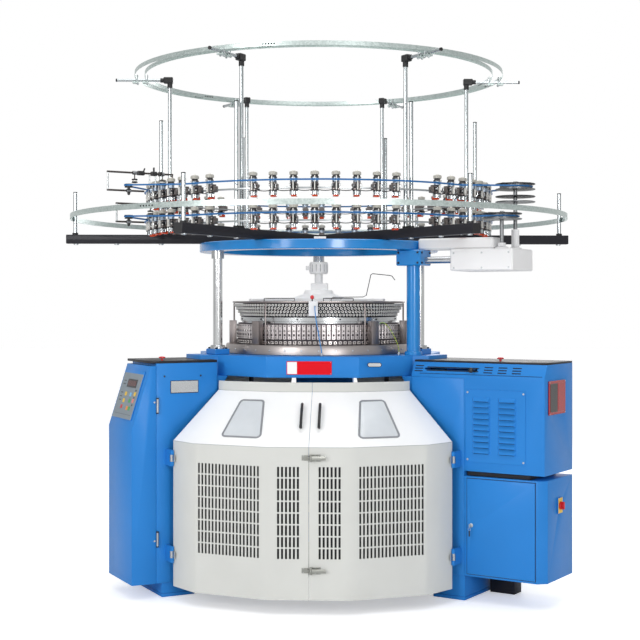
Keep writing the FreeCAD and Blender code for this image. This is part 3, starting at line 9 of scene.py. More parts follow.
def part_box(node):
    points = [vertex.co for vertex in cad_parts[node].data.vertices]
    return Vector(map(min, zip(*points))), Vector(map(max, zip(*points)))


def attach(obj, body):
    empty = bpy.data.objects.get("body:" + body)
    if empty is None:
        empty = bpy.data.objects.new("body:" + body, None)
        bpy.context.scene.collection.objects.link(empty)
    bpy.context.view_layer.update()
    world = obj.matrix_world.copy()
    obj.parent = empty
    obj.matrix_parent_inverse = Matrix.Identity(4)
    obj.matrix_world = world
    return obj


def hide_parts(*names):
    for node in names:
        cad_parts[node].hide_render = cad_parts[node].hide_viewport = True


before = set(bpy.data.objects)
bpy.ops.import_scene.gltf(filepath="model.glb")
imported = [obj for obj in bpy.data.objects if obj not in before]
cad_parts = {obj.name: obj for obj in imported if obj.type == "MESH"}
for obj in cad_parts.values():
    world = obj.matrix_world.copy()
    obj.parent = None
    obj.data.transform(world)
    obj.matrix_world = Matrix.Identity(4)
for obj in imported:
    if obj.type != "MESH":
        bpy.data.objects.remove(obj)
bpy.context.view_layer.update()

scene = bpy.context.scene

# ---- Hall floor, light and camera ----------------------------------------------------------------
# A white studio sweep: the machine was photographed alone, from standing eye height, with its
# gates a few degrees off square to the lens.


class Shade:
    """One socket of a finish, so that arithmetic on it reads as an expression."""

    def __init__(self, tree, socket=None):
        self.tree = tree
        self.socket = socket

    def node(self, kind, sockets, out=0, **settings):
        """Adds a node: its settings first, then the values or links of its sockets."""
        made = self.tree.nodes.new("ShaderNode" + kind)
        for name, value in settings.items():
            setattr(made, name, value)
        for name, value in sockets.items():
            if isinstance(value, Shade):
                self.tree.links.new(value.socket, made.inputs[name])
            else:
                made.inputs[name].default_value = value
        return Shade(self.tree, made.outputs[out])

    def maths(self, operation, first, second=0.0):
        return self.node("Math", {0: first, 1: second}, operation=operation)

    def __add__(self, other):
        return self.maths("ADD", self, other)

    def __sub__(self, other):
        return self.maths("SUBTRACT", self, other)

    def __rsub__(self, other):
        return self.maths("SUBTRACT", other, self)

    def __mul__(self, other):
        return self.maths("MULTIPLY", self, other)

    def __gt__(self, other):
        return self.maths("GREATER_THAN", self, other)

    __radd__ = __add__
    __rmul__ = __mul__

    def waves(self, closeness):
        return self.maths("SINE", self * closeness)

    def axis(self, number):
        """The X, Y or Z part of a coordinate."""
        return self.node("SeparateXYZ", {0: self}, number)

    def noise(self, scale, detail=2.0, **sockets):
        """A cloudy pattern laid out by this coordinate."""
        return self.node("TexNoise", {"Vector": self, "Scale": scale, "Detail": detail, **sockets})

    def bump(self, strength, distance):
        """A surface that rises and falls with this value."""
        return self.node("Bump", {"Height": self, "Strength": strength, "Distance": distance})

    def between(self, low, high):
        """The colour that lies this far from low to high."""
        return self.node("Mix", {0: self, 6: low, 7: high}, 2, data_type="RGBA")

    def depths(self, colour, low, high):
        """One colour, from a low share of its brightness to a high one."""
        return self.between(darker(colour, low), darker(colour, high))


def paint_code(code):
    """A colour as paint charts give it, six hex digits, as Blender keeps it."""
    channels = [int(code[i:i + 2], 16) / 255 for i in (0, 2, 4)]
    linear = [c / 12.92 if c <= 0.04045 else ((c + 0.055) / 1.055) ** 2.4 for c in channels]
    return (*linear, 1.0)


def darker(colour, share):
    return (*[channel * share for channel in colour[:3]], 1.0)


def new_finish(name, layout="Object"):
    """A bare finish: the material, its shader and the coordinate that lays out its patterns."""
    material = bpy.data.materials.new(name)
    material.use_nodes = True
    tree = material.node_tree
    return material, tree.nodes["Principled BSDF"], Shade(tree).node("TexCoord", {}, layout)


def feed(shader, **sockets):
    """Links or sets sockets of a shader, named with _ for a space."""
    for name, value in sockets.items():
        entry = shader.inputs[name.replace("_", " ")]
        if isinstance(value, Shade):
            value.tree.links.new(value.socket, entry)
        else:
            entry.default_value = value


SWEEP_REACH = 40.0
FLOOR_WHITE = (0.86, 0.86, 0.86, 1.0)
FLOOR_LIFT = (0.42, 0.42, 0.42, 1.0)
floor_mesh = bmesh.new()
bmesh.ops.create_grid(floor_mesh, x_segments=8, y_segments=8, size=SWEEP_REACH)
floor_data = bpy.data.meshes.new("hall_floor")
floor_mesh.to_mesh(floor_data)
floor = bpy.data.objects.new("hall_floor", floor_data)
scene.collection.objects.link(floor)
floor_finish, floor_shader, place = new_finish("hall_floor", "Generated")
seen = place.node("LightPath", {}, "Is Camera Ray")
feed(floor_shader, Base_Color=place.noise(0.6, 3.0).depths(FLOOR_WHITE, 1.0, 1.04), Roughness=0.6,
     Emission_Color=seen.between((0.0, 0.0, 0.0, 1.0), FLOOR_LIFT), Emission_Strength=1.0)
floor_data.materials.append(floor_finish)

# Glossy rays see part of the white that the lens sees, so bright metal keeps its contrast. The
# room is darker to either side, which draws the edges of the bright tubes.
GLOSSY_SHARE = 0.3
ROOM_AHEAD = 0.74
ROOM_FALL = 0.44
world = bpy.data.worlds.new("studio")
scene.world = world
world.use_nodes = True
sky = Shade(world.node_tree)
glow = world.node_tree.nodes["Background"]
direct, glossy, through = [sky.node("LightPath", {}, f"Is {ray} Ray") for ray in ("Camera", "Glossy", "Transmission")]
white_seen = sky.maths("MINIMUM", direct + glossy * GLOSSY_SHARE + through, 1.0)
aside = sky.node("TexCoord", {}, "Generated").axis(0)
room = ROOM_AHEAD - aside * aside * ROOM_FALL
glow.inputs["Color"].default_value = (1.0, 1.0, 1.0, 1.0)
sky.tree.links.new((white_seen * (1.0 - room) + room).socket, glow.inputs["Strength"])

# Large square lamps, each aimed at a height on the machine's axis: name, place, aim, width, watts.
for name, place, aim, width, power in (
        ("left_soft_box", (-4.6, -7.6, 3.6), 1.3, 2.6, 190), ("right_soft_box", (3.0, -8.4, 2.6), 1.3, 1.6, 120),
        ("top_soft_box", (0.0, -1.0, 7.5), 1.5, 5.0, 170), ("back_soft_box", (1.0, 7.0, 4.5), 1.6, 4.0, 120)):
    lamp = bpy.data.lights.new(name, "AREA")
    lamp.size = width
    lamp.energy = power
    holder = bpy.data.objects.new(name, lamp)
    holder.location = place
    holder.rotation_euler = (Vector((0, 0, aim)) - Vector(place)).to_track_quat("-Z", "Y").to_euler()
    scene.collection.objects.link(holder)

CAMERA_DISTANCE = 8.6
CAMERA_HEIGHT = 1.765
CAMERA_TURN = radians(2.8)
camera_data = bpy.data.cameras.new("camera")
camera_data.lens = 74.8
camera_data.shift_x = 0.002
camera_data.shift_y = -0.031
camera = bpy.data.objects.new("camera", camera_data)
camera.location = (CAMERA_DISTANCE * sin(CAMERA_TURN), -CAMERA_DISTANCE * cos(CAMERA_TURN), CAMERA_HEIGHT)
camera.rotation_euler = (pi / 2, 0, CAMERA_TURN)
scene.collection.objects.link(camera)
scene.camera = camera
scene.view_settings.view_transform = "Standard"

# ---- Floor base, legs and feet -------------------------------------------------------------------
# Three box legs welded from steel plate, sprayed blue with their foot plates. A cast tripod
# between them rests on the floor and takes the pivot of the take-down.


def enamel(name, code, roughness=0.36, coat=0.04, shine=0.16):
    """Sprayed enamel: faint orange peel, slightly uneven colour and shine."""
    material, shader, place = new_finish(name)
    smear = place.noise(14.0, 6.0, Roughness=0.7)
    feed(shader, Base_Color=place.noise(3.0, 4.0).depths(paint_code(code), 0.93, 1.06),
         Roughness=smear * 0.12 + (roughness - 0.06), Normal=place.noise(260.0).bump(0.05, 0.0006),
         Coat_Weight=coat, Coat_Roughness=0.12, Specular_IOR_Level=shine)
    return material


def cast_iron(name, code, roughness=0.6):
    """Bare or primed casting: grainy skin, dark pores."""
    material, shader, place = new_finish(name)
    grain = place.noise(120.0, 8.0)
    feed(shader, Base_Color=place.noise(9.0, 3.0).depths(paint_code(code), 0.75, 1.25), Metallic=0.6,
         Roughness=grain * 0.2 + (roughness - 0.1), Normal=grain.bump(0.25, 0.001))
    return material


blue_enamel = enamel("blue_enamel", "2B80CE")
black_enamel = enamel("black_enamel", "26262B", 0.45, 0.1)
oiled_iron = cast_iron("oiled_iron", "47484C")


def turn_z(degrees):
    return Matrix.Rotation(radians(degrees), 4, "Z")


RIGHT_LEG, LEFT_LEG, REAR_LEG = turn_z(-30), turn_z(210), turn_z(90)
SMOOTH_UNDER = radians(32)
SHARP_OVER = radians(20)


def place_piece(name, mesh, body, stands_for):
    """Puts a finished mesh in the scene on its body, in the place of CAD nodes."""
    data = bpy.data.meshes.new(name)
    for edge in mesh.edges:
        edge.smooth = edge.calc_face_angle(pi) < SMOOTH_UNDER
    for face in mesh.faces:
        face.smooth = True
    mesh.to_mesh(data)
    mesh.free()
    piece = bpy.data.objects.new(name, data)
    scene.collection.objects.link(piece)
    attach(piece, body)
    if stands_for:
        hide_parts(*stands_for)
    return piece


def softened(node, finish, edge, body="machine"):
    """A plate piece or casting as the frame has it, with its edges broken."""
    mesh = bmesh.new()
    mesh.from_mesh(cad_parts[node].data)
    bmesh.ops.remove_doubles(mesh, verts=mesh.verts, dist=1e-5)
    bmesh.ops.dissolve_limit(mesh, angle_limit=radians(1), verts=mesh.verts, edges=mesh.edges)
    sharp = [e for e in mesh.edges if e.is_manifold and e.calc_face_angle(0) > SHARP_OVER]
    bmesh.ops.bevel(mesh, geom=sharp, offset=edge, segments=2, profile=0.5, affect="EDGES", clamp_overlap=True)
    for face in mesh.faces:
        face.material_index = 0
    piece = place_piece(node + "_dressed", mesh, body, (node,))
    piece.data.materials.append(finish)
    return piece


def refinish(node, finish):
    """A CAD piece that shows as it is, in its real finish."""
    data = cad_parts[node].data
    data.materials.clear()
    data.materials.append(finish)


softened("legs", blue_enamel, 0.006)
softened("foot_plates", blue_enamel, 0.003)
softened("floor_base", oiled_iron, 0.006)

# ---- Bed -----------------------------------------------------------------------------------------
# Nine-sided cast ring on the three legs, machined above for the saddle. Its front face has a
# bare red plate on four rivets and a small bare silver badge.

softened("bed", blue_enamel, 0.004)


class Workpiece:
    """A piece being made up from simple shapes, each in its own finish."""

    def __init__(self):
        self.mesh = bmesh.new()
        self.finishes = []

    def number(self, finish):
        if finish not in self.finishes:
            self.finishes.append(finish)
        return self.finishes.index(finish)

    def add(self, points, faces, finish, at=None):
        """Adds corner points and the faces between them."""
        number = self.number(finish)
        corners = [self.mesh.verts.new(at @ Vector(p) if at else p) for p in points]
        for face in faces:
            self.mesh.faces.new([corners[i] for i in face]).material_index = number

    def hoops(self, points, sides, finish, at=None, closed=False):
        """Walls from each hoop of points to the next, and flat ends unless the last meets the first."""
        rows = len(points) // sides
        faces = []
        for row in range(rows if closed else rows - 1):
            after = (row + 1) % rows
            for step in range(sides):
                beside = (step + 1) % sides
                faces.append([row * sides + step, row * sides + beside, after * sides + beside, after * sides + step])
        if not closed:
            faces.append(list(range(sides))[::-1])
            faces.append([(rows - 1) * sides + step for step in range(sides)])
        self.add(points, faces, finish, at)

    def block(self, low, high, finish, edge=0.001, at=None):
        """A block with its edges broken: three points at each corner, one on each face there."""
        points = []
        for corner in product((0, 1), repeat=3):
            for axis in range(3):
                points.append([(low, high)[corner[i]][i] + (0 if i == axis else edge * (1 - 2 * corner[i]))
                               for i in range(3)])
        faces = [[i, i + 1, i + 2] for i in range(0, len(points), 3)]
        stride = (12, 6, 3)
        for axis in range(3):
            u, v = [i for i in range(3) if i != axis]
            for side in (0, 1):
                faces.append([side * stride[axis] + a * stride[u] + b * stride[v] + axis
                              for a, b in ((0, 0), (1, 0), (1, 1), (0, 1))])
            for a, b in product((0, 1), repeat=2):
                first = a * stride[u] + b * stride[v]
                last = first + stride[axis]
                faces.append([first + u, first + v, last + v, last + u])
        self.add(points, faces, finish, at)

    def turned(self, outline, finish, steps=24, at=None, closed=False):
        """An outline of radius and height pairs turned about Z; closed for a ring's section."""
        angles = [2 * pi * step / steps for step in range(steps)]
        points = [(radius * cos(angle), radius * sin(angle), height) for radius, height in outline for angle in angles]
        self.hoops(points, steps, finish, at, closed)

    def ring(self, section, finish, steps=160):
        """A ring turned about Z from its closed section."""
        self.turned(section, finish, steps, closed=True)

    def rod(self, start, end, radius, finish, sides=12, edge=0.0, at=None):
        """A round bar between two points, its ends chamfered by an edge."""
        start, end = Vector(start), Vector(end)
        along = end - start
        lie = Matrix.Translation(start) @ along.to_track_quat("Z", "Y").to_matrix().to_4x4()
        outline = [(radius, 0.0), (radius, along.length)]
        if edge:
            outline = [(radius - edge, 0.0), (radius, edge), (radius, along.length - edge),
                       (radius - edge, along.length)]
        self.turned(outline, finish, sides, at @ lie if at else lie)

    def wire(self, route, radius, finish, sides=8, closed=False, at=None):
        """A bent bar or a bead that follows a route of points."""
        route = [Vector(p) for p in route]
        points = []
        side_way = None
        for i, point in enumerate(route):
            before = route[i - 1] if closed or i else point
            after = route[(i + 1) % len(route)] if closed or i < len(route) - 1 else point
            along = (after - before).normalized()
            if side_way is None:
                side_way = along.orthogonal().normalized()
            side_way = (side_way - along * side_way.dot(along)).normalized()
            other_way = along.cross(side_way)
            for step in range(sides):
                angle = 2 * pi * step / sides
                points.append(point + (side_way * cos(angle) + other_way * sin(angle)) * radius)
        self.hoops(points, sides, finish, at, closed)

    def take(self, skin):
        """Adds a finished skin, whose faces keep their numbers."""
        data = bpy.data.meshes.new("skin")
        skin.to_mesh(data)
        skin.free()
        self.mesh.from_mesh(data)

    def repeat(self, pattern, places):
        """Copies of another workpiece, one at each place."""
        data = bpy.data.meshes.new("pattern")
        pattern.mesh.to_mesh(data)
        numbers = [self.number(finish) for finish in pattern.finishes]
        for face in data.polygons:
            face.material_index = numbers[face.material_index]
        for place in places:
            copy = data.copy()
            copy.transform(place)
            self.mesh.from_mesh(copy)
            bpy.data.meshes.remove(copy)
        bpy.data.meshes.remove(data)

    def done(self, name, slot, *stands_for, body="machine"):
        """Squares up the faces and puts the piece on its body."""
        bmesh.ops.recalc_face_normals(self.mesh, faces=self.mesh.faces)
        piece = place_piece(name, self.mesh, body, stands_for)
        for finish in self.finishes:
            piece.data.materials.append(finish)


def metal(name, code, roughness=0.3, grain=(60.0, 60.0, 60.0), uneven=0.12, bumpy=0.05):
    """Machined or plated metal: grain scaled along each axis, uneven shine."""
    material, shader, place = new_finish(name)
    scratch = place.node("VectorMath", {0: place, 1: grain}, operation="MULTIPLY").noise(6.0, 5.0)
    feed(shader, Base_Color=place.noise(7.0, 3.0).depths(paint_code(code), 0.86, 1.1), Metallic=1.0,
         Roughness=scratch * uneven + (roughness - uneven / 2), Normal=scratch.bump(bumpy, 0.0004))
    return material


def plastic(name, code, roughness=0.4, coat=0.0):
    """Moulded plastic: fine spark-eroded skin."""
    material, shader, place = new_finish(name)
    skin = place.noise(400.0)
    feed(shader, Base_Color=place.noise(20.0).depths(paint_code(code), 0.92, 1.06),
         Roughness=skin * 0.1 + (roughness - 0.05), Normal=skin.bump(0.08, 0.0003), Coat_Weight=coat)
    return material


def shift(x, y, z):
    return Matrix.Translation((x, y, z))


def quarter(axis):
    return Matrix.Rotation(pi / 2, 4, axis)


red_enamel = enamel("red_enamel", "DC0A1E", 0.3)
white_enamel = enamel("white_enamel", "F0F0F1", 0.35)
silver_badge = metal("silver_badge", "D9DCDE", 0.25)
zinc = metal("zinc", "C6CACC", 0.32)

BED_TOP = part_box("bed")[1].z
BED_FACE_DEPTH = 0.8 * cos(radians(20))
# On the front face: X to the right, -Y outward, Z up from the bed's top.
front_face = shift(0, -BED_FACE_DEPTH, BED_TOP)
bed_front = Workpiece()
bed_front.block((-0.153, -0.004, -0.105), (0.114, -0.0004, -0.026), red_enamel, 0.0012, front_face)
bed_front.block((-0.149, -0.0052, -0.101), (-0.092, -0.0035, -0.030), white_enamel, 0.0006, front_face)
for spot, level in product((-0.147, 0.108), (-0.031, -0.100)):
    bed_front.rod((spot, -0.0035, level), (spot, -0.0062, level), 0.0022, zinc, 10, 0.0006, front_face)
badge_place = front_face @ shift(0.366, 0.0, -0.046) @ quarter("X")
for long, tall, low, high, finish in ((0.042, 0.013, 0.0004, 0.0022, black_enamel),
                                      (0.0385, 0.0098, 0.002, 0.003, silver_badge)):
    outline = []
    for step in range(32):
        angle = pi * (step + 0.5) / 16
        outline.append((copysign(long - tall, cos(angle)) + tall * cos(angle), tall * sin(angle)))
    bed_front.hoops([(x, y, z) for z in (low, high) for x, y in outline], 32, finish, badge_place)
bed_front.done("bed_plates", "white_paint")

# ---- Gates ---------------------------------------------------------------------------------------
# Two leaves folded from steel sheet, powder coated light grey: an upright grille, a hood that
# leans in above the shoulder with a rubber-trimmed window, and an upright collar.

grey_enamel = enamel("grey_enamel", "D0D1CD", 0.45, 0.05)
# A whiter copy of the grey enamel for the leaning hood facets: painted light.
hood_painted_light = enamel("hood_painted_light", "F4F5F5", 0.42, 0.05)
black_rubber = plastic("black_rubber", "1C1C1E", 0.6)
# Grey rubber of the window trim; the same grey draws the painted shade along the folds.
grey_rubber_and_fold_shade = plastic("grey_rubber_and_fold_shade", "8B8E92", 0.55)
handle_black = plastic("handle_black", "17181A", 0.35)
hinge_zinc = metal("hinge_zinc", "B9BCBE", 0.35)
latch_zinc = metal("latch_zinc", "9FA09A", 0.36)

GATE_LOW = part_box("gate_right")[0].z
GATE_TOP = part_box("gate_right")[1].z
SHOULDER = 0.938
COLLAR_LOW = 1.225
SHEET = 0.004
SPLIT = 0.001
# The folds of a right leaf in plan, from its free edge to its hinge.
SHOULDER_LINE = [(0.232, 1.142), (0.675, 0.970), (0.819, 0.800)]
COLLAR_LINE = [(0.190, 0.780), (0.530, 0.648), (0.575, 0.5949)]
GRILLE_LOW = 0.3072
GRILLE_ROWS = 8
ROW_PITCH = 0.0657
SLOT_TALL = 0.058
SLOT_WIDE = 0.0124
COLUMN_PITCH = 0.0223
# Columns of slots on the leaf's first two facets, and how far their middle is off the facet's.
GRILLE_COLUMNS = {0: 6, 1: 18}
FRONT_GRILLE_SPOT = 0.117
SIDE_GRILLE_LEAD = 0.013


def guard_lines(half):
    """Shoulder and collar lines in plan, from left to right."""
    lines = []
    for line in (SHOULDER_LINE, COLLAR_LINE):
        right_half = [Vector((x, -y, 0)) for x, y in line]
        start = Vector((SPLIT, right_half[0].y, 0))
        left_half = [Vector((-p.x, p.y, 0)) for p in reversed(right_half)]
        lines.append([start] + right_half if half else left_half + right_half)
    return lines


def grille_cells(length, middle, columns):
    """Where a facet's slots start and stop along it and up it."""
    along = []
    for column in range(columns):
        centre = middle + (column - (columns - 1) / 2) * COLUMN_PITCH
        along += [centre - SLOT_WIDE / 2, centre + SLOT_WIDE / 2]
    up = []
    for row in range(GRILLE_ROWS):
        low = GRILLE_LOW + row * ROW_PITCH + (ROW_PITCH - SLOT_TALL) / 2
        up += [low, low + SLOT_TALL]
    return [0.0] + along + [length], [GATE_LOW] + up + [SHOULDER]


WINDOW_CORNERS = ((0.13, 0.16), (0.67, 0.16), (0.62, 0.82), (0.24, 0.82))
WINDOW_ROUND = 0.022
ROUND_STEPS = 5


def window_outline(shrink=0.0):
    """The hood window of a right leaf as a rounded outline in space."""
    edges = []
    for line, level in ((SHOULDER_LINE, SHOULDER), (COLLAR_LINE, COLLAR_LOW)):
        edges.append([Vector((x, -y, level)) for x, y in line[:2]])
    corners = [edges[0][0].lerp(edges[0][1], across).lerp(edges[1][0].lerp(edges[1][1], across), up)
               for across, up in WINDOW_CORNERS]
    middle = sum(corners, Vector()) / 4
    corners = [p + (middle - p).normalized() * shrink for p in corners]
    route = []
    for i, corner in enumerate(corners):
        back = (corners[i - 1] - corner).normalized()
        on = (corners[(i + 1) % 4] - corner).normalized()
        half = back.angle(on) / 2
        reach = WINDOW_ROUND / tan(half)
        centre = corner + (back + on).normalized() * (WINDOW_ROUND / sin(half))
        first = corner + back * reach - centre
        last = corner + on * reach - centre
        route += [centre + first.slerp(last, step / ROUND_STEPS) * WINDOW_ROUND for step in range(ROUND_STEPS + 1)]
    return route


# Square to the facet of the hood that holds the window.
along_fold = Vector((SHOULDER_LINE[1][0] - SHOULDER_LINE[0][0], SHOULDER_LINE[0][1] - SHOULDER_LINE[1][1], 0))
up_hood = Vector((COLLAR_LINE[0][0] - SHOULDER_LINE[0][0], SHOULDER_LINE[0][1] - COLLAR_LINE[0][1],
                  COLLAR_LOW - SHOULDER))
hood_normal = along_fold.cross(up_hood).normalized()


def guard_skin(half):
    """The outside of a leaf or guard as one folded skin, turned into sheet of its thickness."""
    skin = bmesh.new()
    shoulder, collar = guard_lines(half)
    for i in range(len(shoulder) - 1):
        a, b = shoulder[i], shoulder[i + 1]
        length = (b - a).length
        way = (b - a).normalized()
        columns = GRILLE_COLUMNS.get(i, 0) if half else 0
        middle = FRONT_GRILLE_SPOT - SPLIT if i == 0 else length / 2 + SIDE_GRILLE_LEAD
        along, up = grille_cells(length, middle, columns)
        grid = [[skin.verts.new(a + way * s + Vector((0, 0, z))) for s in along] for z in up]
        for row, column in product(range(len(up) - 1), range(len(along) - 1)):
            if not (columns and row % 2 and column % 2):
                skin.faces.new([grid[row][column], grid[row][column + 1], grid[row + 1][column + 1],
                                grid[row + 1][column]])
        top = [vert.co.copy() for vert in grid[-1]]
        c, d = [p + Vector((0, 0, COLLAR_LOW)) for p in collar[i:i + 2]]
        hood = [skin.verts.new(p) for p in top + [d, c]]
        if half and i == 1:
            window = [skin.verts.new(p) for p in window_outline()]
            loops = [skin.edges.new((loop[k - 1], loop[k])) for loop in (hood, window) for k in range(len(loop))]
            bmesh.ops.triangle_fill(skin, use_beauty=True, use_dissolve=False, edges=loops, normal=hood_normal)
        else:
            skin.faces.new(hood)
        high = Vector((0, 0, GATE_TOP - COLLAR_LOW))
        skin.faces.new([skin.verts.new(p) for p in (c, d, d + high, c + high)])
    bmesh.ops.remove_doubles(skin, verts=skin.verts, dist=2e-5)
    bmesh.ops.recalc_face_normals(skin, faces=skin.faces)
    if sum((f.normal.dot(f.calc_center_median().normalized()) for f in skin.faces)) < 0:
        bmesh.ops.reverse_faces(skin, faces=skin.faces)
    bmesh.ops.solidify(skin, geom=skin.faces[:], thickness=SHEET)
    return skin


def gauze(name):
    """A black sheet with a woven pattern inside the leaf, behind the slots: painted shade for the dark seen through
    them.
    """
    material, shader, place = new_finish(name)
    weave = place.axis(0).waves(2100.0) * place.axis(2).waves(2100.0)
    feed(shader, Base_Color=(weave > 0.2).between(paint_code("060608"), paint_code("15161A")), Roughness=0.7,
         Normal=weave.bump(0.5, 0.0005))
    return material


slot_shade_gauze = gauze("slot_shade_gauze")
HANDLE_SPOT = 0.052
HANDLE_ENDS = (1.035, 1.135)
HANDLE_OUT = Vector((0, -0.62, 0.785))
LATCH_LEVELS = (0.88, 0.248)


def hood_front(x, z):
    """A point on the middle facet of the hood."""
    share = (z - SHOULDER) / (COLLAR_LOW - SHOULDER)
    return Vector((x, -(SHOULDER_LINE[0][1] + (COLLAR_LINE[0][1] - SHOULDER_LINE[0][1]) * share), z))


def headed(point, way):
    """A place whose X axis runs along a level way."""
    return Matrix.Translation(point) @ Matrix(
        ((way.x, -way.y, 0, 0), (way.y, way.x, 0, 0), (0, 0, 1, 0), (0, 0, 0, 1)))


def gate_leaf(side):
    """A leaf with its trim and handle; side is 1 for right, -1 for left."""
    leaf = Workpiece()
    leaf.finishes += [grey_enamel, hood_painted_light]
    skin = guard_skin(True)
    # Hood facets of the one grey sheet take the whiter copy: painted light where the hood leans up to the light.
    for face in skin.faces:
        face.material_index = int(SHOULDER < face.calc_center_median().z < COLLAR_LOW)
    leaf.take(skin)
    leaf.wire(window_outline(-0.002), 0.0065, grey_rubber_and_fold_shade, 8, closed=True)
    shoulder, collar = guard_lines(True)
    # Thin grey beads along the shoulder and collar folds are painted shade of the fold lines.
    for line, level in ((shoulder, SHOULDER), (collar, COLLAR_LOW)):
        leaf.wire([p + Vector((0, 0, level)) for p in line], 0.0012, grey_rubber_and_fold_shade, 6)
    # Black gauze sheets inside the two slotted facets are painted shade behind the slots.
    for i, far in enumerate((0.20, 0.47)):
        lie = headed(shoulder[i], (shoulder[i + 1] - shoulder[i]).normalized())
        leaf.block((0.03, SHEET + 0.0003, 0.285), (far, SHEET + 0.002, 0.855), slot_shade_gauze, 0.0004, lie)
    low, high = [hood_front(HANDLE_SPOT, level) for level in HANDLE_ENDS]
    for end in (low, high):
        leaf.rod(end, end + HANDLE_OUT * 0.022, 0.006, handle_black, 12)
    grip = [low + HANDLE_OUT * 0.02 - (high - low) * 0.12, low + HANDLE_OUT * 0.026,
            high + HANDLE_OUT * 0.026, high + HANDLE_OUT * 0.02 + (high - low) * 0.12]
    leaf.wire(grip, 0.0085, handle_black, 10)
    for vert in leaf.mesh.verts:
        vert.co.x *= side
    return leaf


for side, body in ((1, "gate_right"), (-1, "gate_left")):
    leaf = gate_leaf(side)
    for level in (0.835, 0.268):
        pin = Vector((0.82668 * side, -0.81215, level))
        leaf.turned([(0.0112, -0.02), (0.0112, 0.02)], hinge_zinc, 16, Matrix.Translation(pin))
        leaf.block((0.0, -0.003, -0.019), (0.034, 0.003, 0.019), hinge_zinc, 0.0008,
                   headed(pin, Vector((-side * 0.62, -0.785, 0)).normalized()))
    # The right leaf carries each latch between two ears, the left one the keeper it hooks on.
    for level in LATCH_LEVELS:
        if side > 0:
            rivets = product((0.036, 0.058), (-0.0155, 0.0155))
            leaf.block((0.006, -1.1463, level - 0.02), (0.066, -1.1424, level + 0.02), latch_zinc, 0.001)
            for ear in (-0.02, 0.0163):
                leaf.block((0.006, -1.17, level + ear), (0.02, -1.146, level + ear + 0.0037), latch_zinc, 0.0008)
            leaf.rod((0.012, -1.162, level - 0.0195), (0.012, -1.162, level + 0.0195), 0.0029, hinge_zinc, 12, 0.0004)
        else:
            rivets = product((-0.031,), (-0.0115, 0.0115))
            leaf.block((-0.0399, -1.1463, level - 0.015), (-0.0039, -1.1424, level + 0.015), latch_zinc, 0.001)
            leaf.block((-0.0109, -1.166, level - 0.009), (-0.0029, -1.146, level + 0.009), latch_zinc, 0.0012)
        for x, z in rivets:
            leaf.rod((x, -1.146, level + z), (x, -1.1485, level + z), 0.003, hinge_zinc, 10, 0.0008)
    bmesh.ops.remove_doubles(leaf.mesh, verts=leaf.mesh.verts, dist=1e-6)
    leaf.done(body + "_leaf", "grey_paint", body, body=body)

# The other two guards, between the legs behind, are plain sheets of the same folds, screwed
# to brackets on the legs.

rear = Workpiece()
rear.finishes.append(grey_enamel)
for angle in (120, -120):
    skin = guard_skin(False)
    skin.transform(turn_z(angle))
    rear.take(skin)
for (turn, flip), level in product(((-30, -1), (90, 1), (90, -1), (210, 1)), (0.855, 0.288)):
    near, far = sorted((-flip * 0.2, -flip * 0.2833))
    rear.block((1.08, near, level - 0.02), (1.105, far, level + 0.02), hinge_zinc, 0.002, turn_z(turn))
rear.done("rear_guard_sheets", "grey_paint", "rear_guards")

# Window panes: clear acrylic held in the rubber trim.


def clear_sheet(name):
    """Clear acrylic with a faint haze of handling."""
    material, shader, place = new_finish(name)
    haze = place.noise(12.0, 5.0)
    feed(shader, Base_Color=(0.8, 0.84, 0.87, 1.0), Roughness=haze * 0.1 + 0.04, Alpha=haze * 0.1 + 0.66, IOR=1.49)
    return material


pane_acrylic = clear_sheet("pane_acrylic")
PANE_HALF = 0.0012
for side, body, node in ((1, "gate_right", "pane_right"), (-1, "gate_left", "pane_left")):
    pane = Workpiece()
    outline = window_outline(0.0005)
    faces = [p + hood_normal * out for out in (-PANE_HALF, PANE_HALF) for p in outline]
    pane.hoops([Vector((p.x * side, p.y, p.z)) for p in faces], len(outline), pane_acrylic)
    pane.done(node + "_acrylic", "clear_pane", node, body=body)

# Toggle latches and hinge posts: pressed and plated steel, riveted on.

refinish("gate_hinges", blue_enamel)
for name in ("latch_upper", "latch_lower"):
    softened(name, latch_zinc, 0.001, name)

# ---- Left cover and console ----------------------------------------------------------------------
# A blue sheet cover on the left leg and, hinged to it, the console whose leaning front carries
# the grey key panel with its display.

softened("leg_covers", blue_enamel, 0.003)
softened("top_plates", black_enamel, 0.003)
softened("console", blue_enamel, 0.004, "console")

panel_grey = plastic("panel_grey", "7E8A93", 0.45)
panel_dark = plastic("panel_dark", "23282D", 0.35)
display_dark = plastic("display_dark", "4A1C1E", 0.2)
key_blue, key_pink, key_orange, key_yellow, key_green, key_red = [plastic("key_" + name, code) for name, code in (
    ("blue", "6FB2E4"), ("pink", "D77F7C"), ("orange", "E08A2E"), ("yellow", "E0B92D"), ("green", "3E9A51"),
    ("red", "C32B2E"))]

# Reach and height of the console's front where it bends and where it ends.
CONSOLE_BEND = (1.342, 1.0)
CONSOLE_TOP = (1.223, 1.375)
lean_angle = atan2(CONSOLE_BEND[0] - CONSOLE_TOP[0], CONSOLE_TOP[1] - CONSOLE_BEND[1])
# X along the panel toward the front of the machine, Y up the slope, Z out of it.
slope = LEFT_LEG @ shift(CONSOLE_BEND[0], 0, CONSOLE_BEND[1]) @ Matrix.Rotation(-lean_angle, 4, "Y") @ Matrix(
    ((0, 0, 1, 0), (1, 0, 0, 0), (0, 1, 0, 0), (0, 0, 0, 1)))
keys = Workpiece()
keys.block((-0.176, 0.056, 0.0045), (0.156, 0.336, 0.0095), panel_grey, 0.002, slope)
keys.block((-0.07, 0.248, 0.009), (0.095, 0.3, 0.011), panel_dark, 0.001, slope)
keys.block((-0.058, 0.257, 0.0105), (0.083, 0.291, 0.0118), display_dark, 0.001, slope)
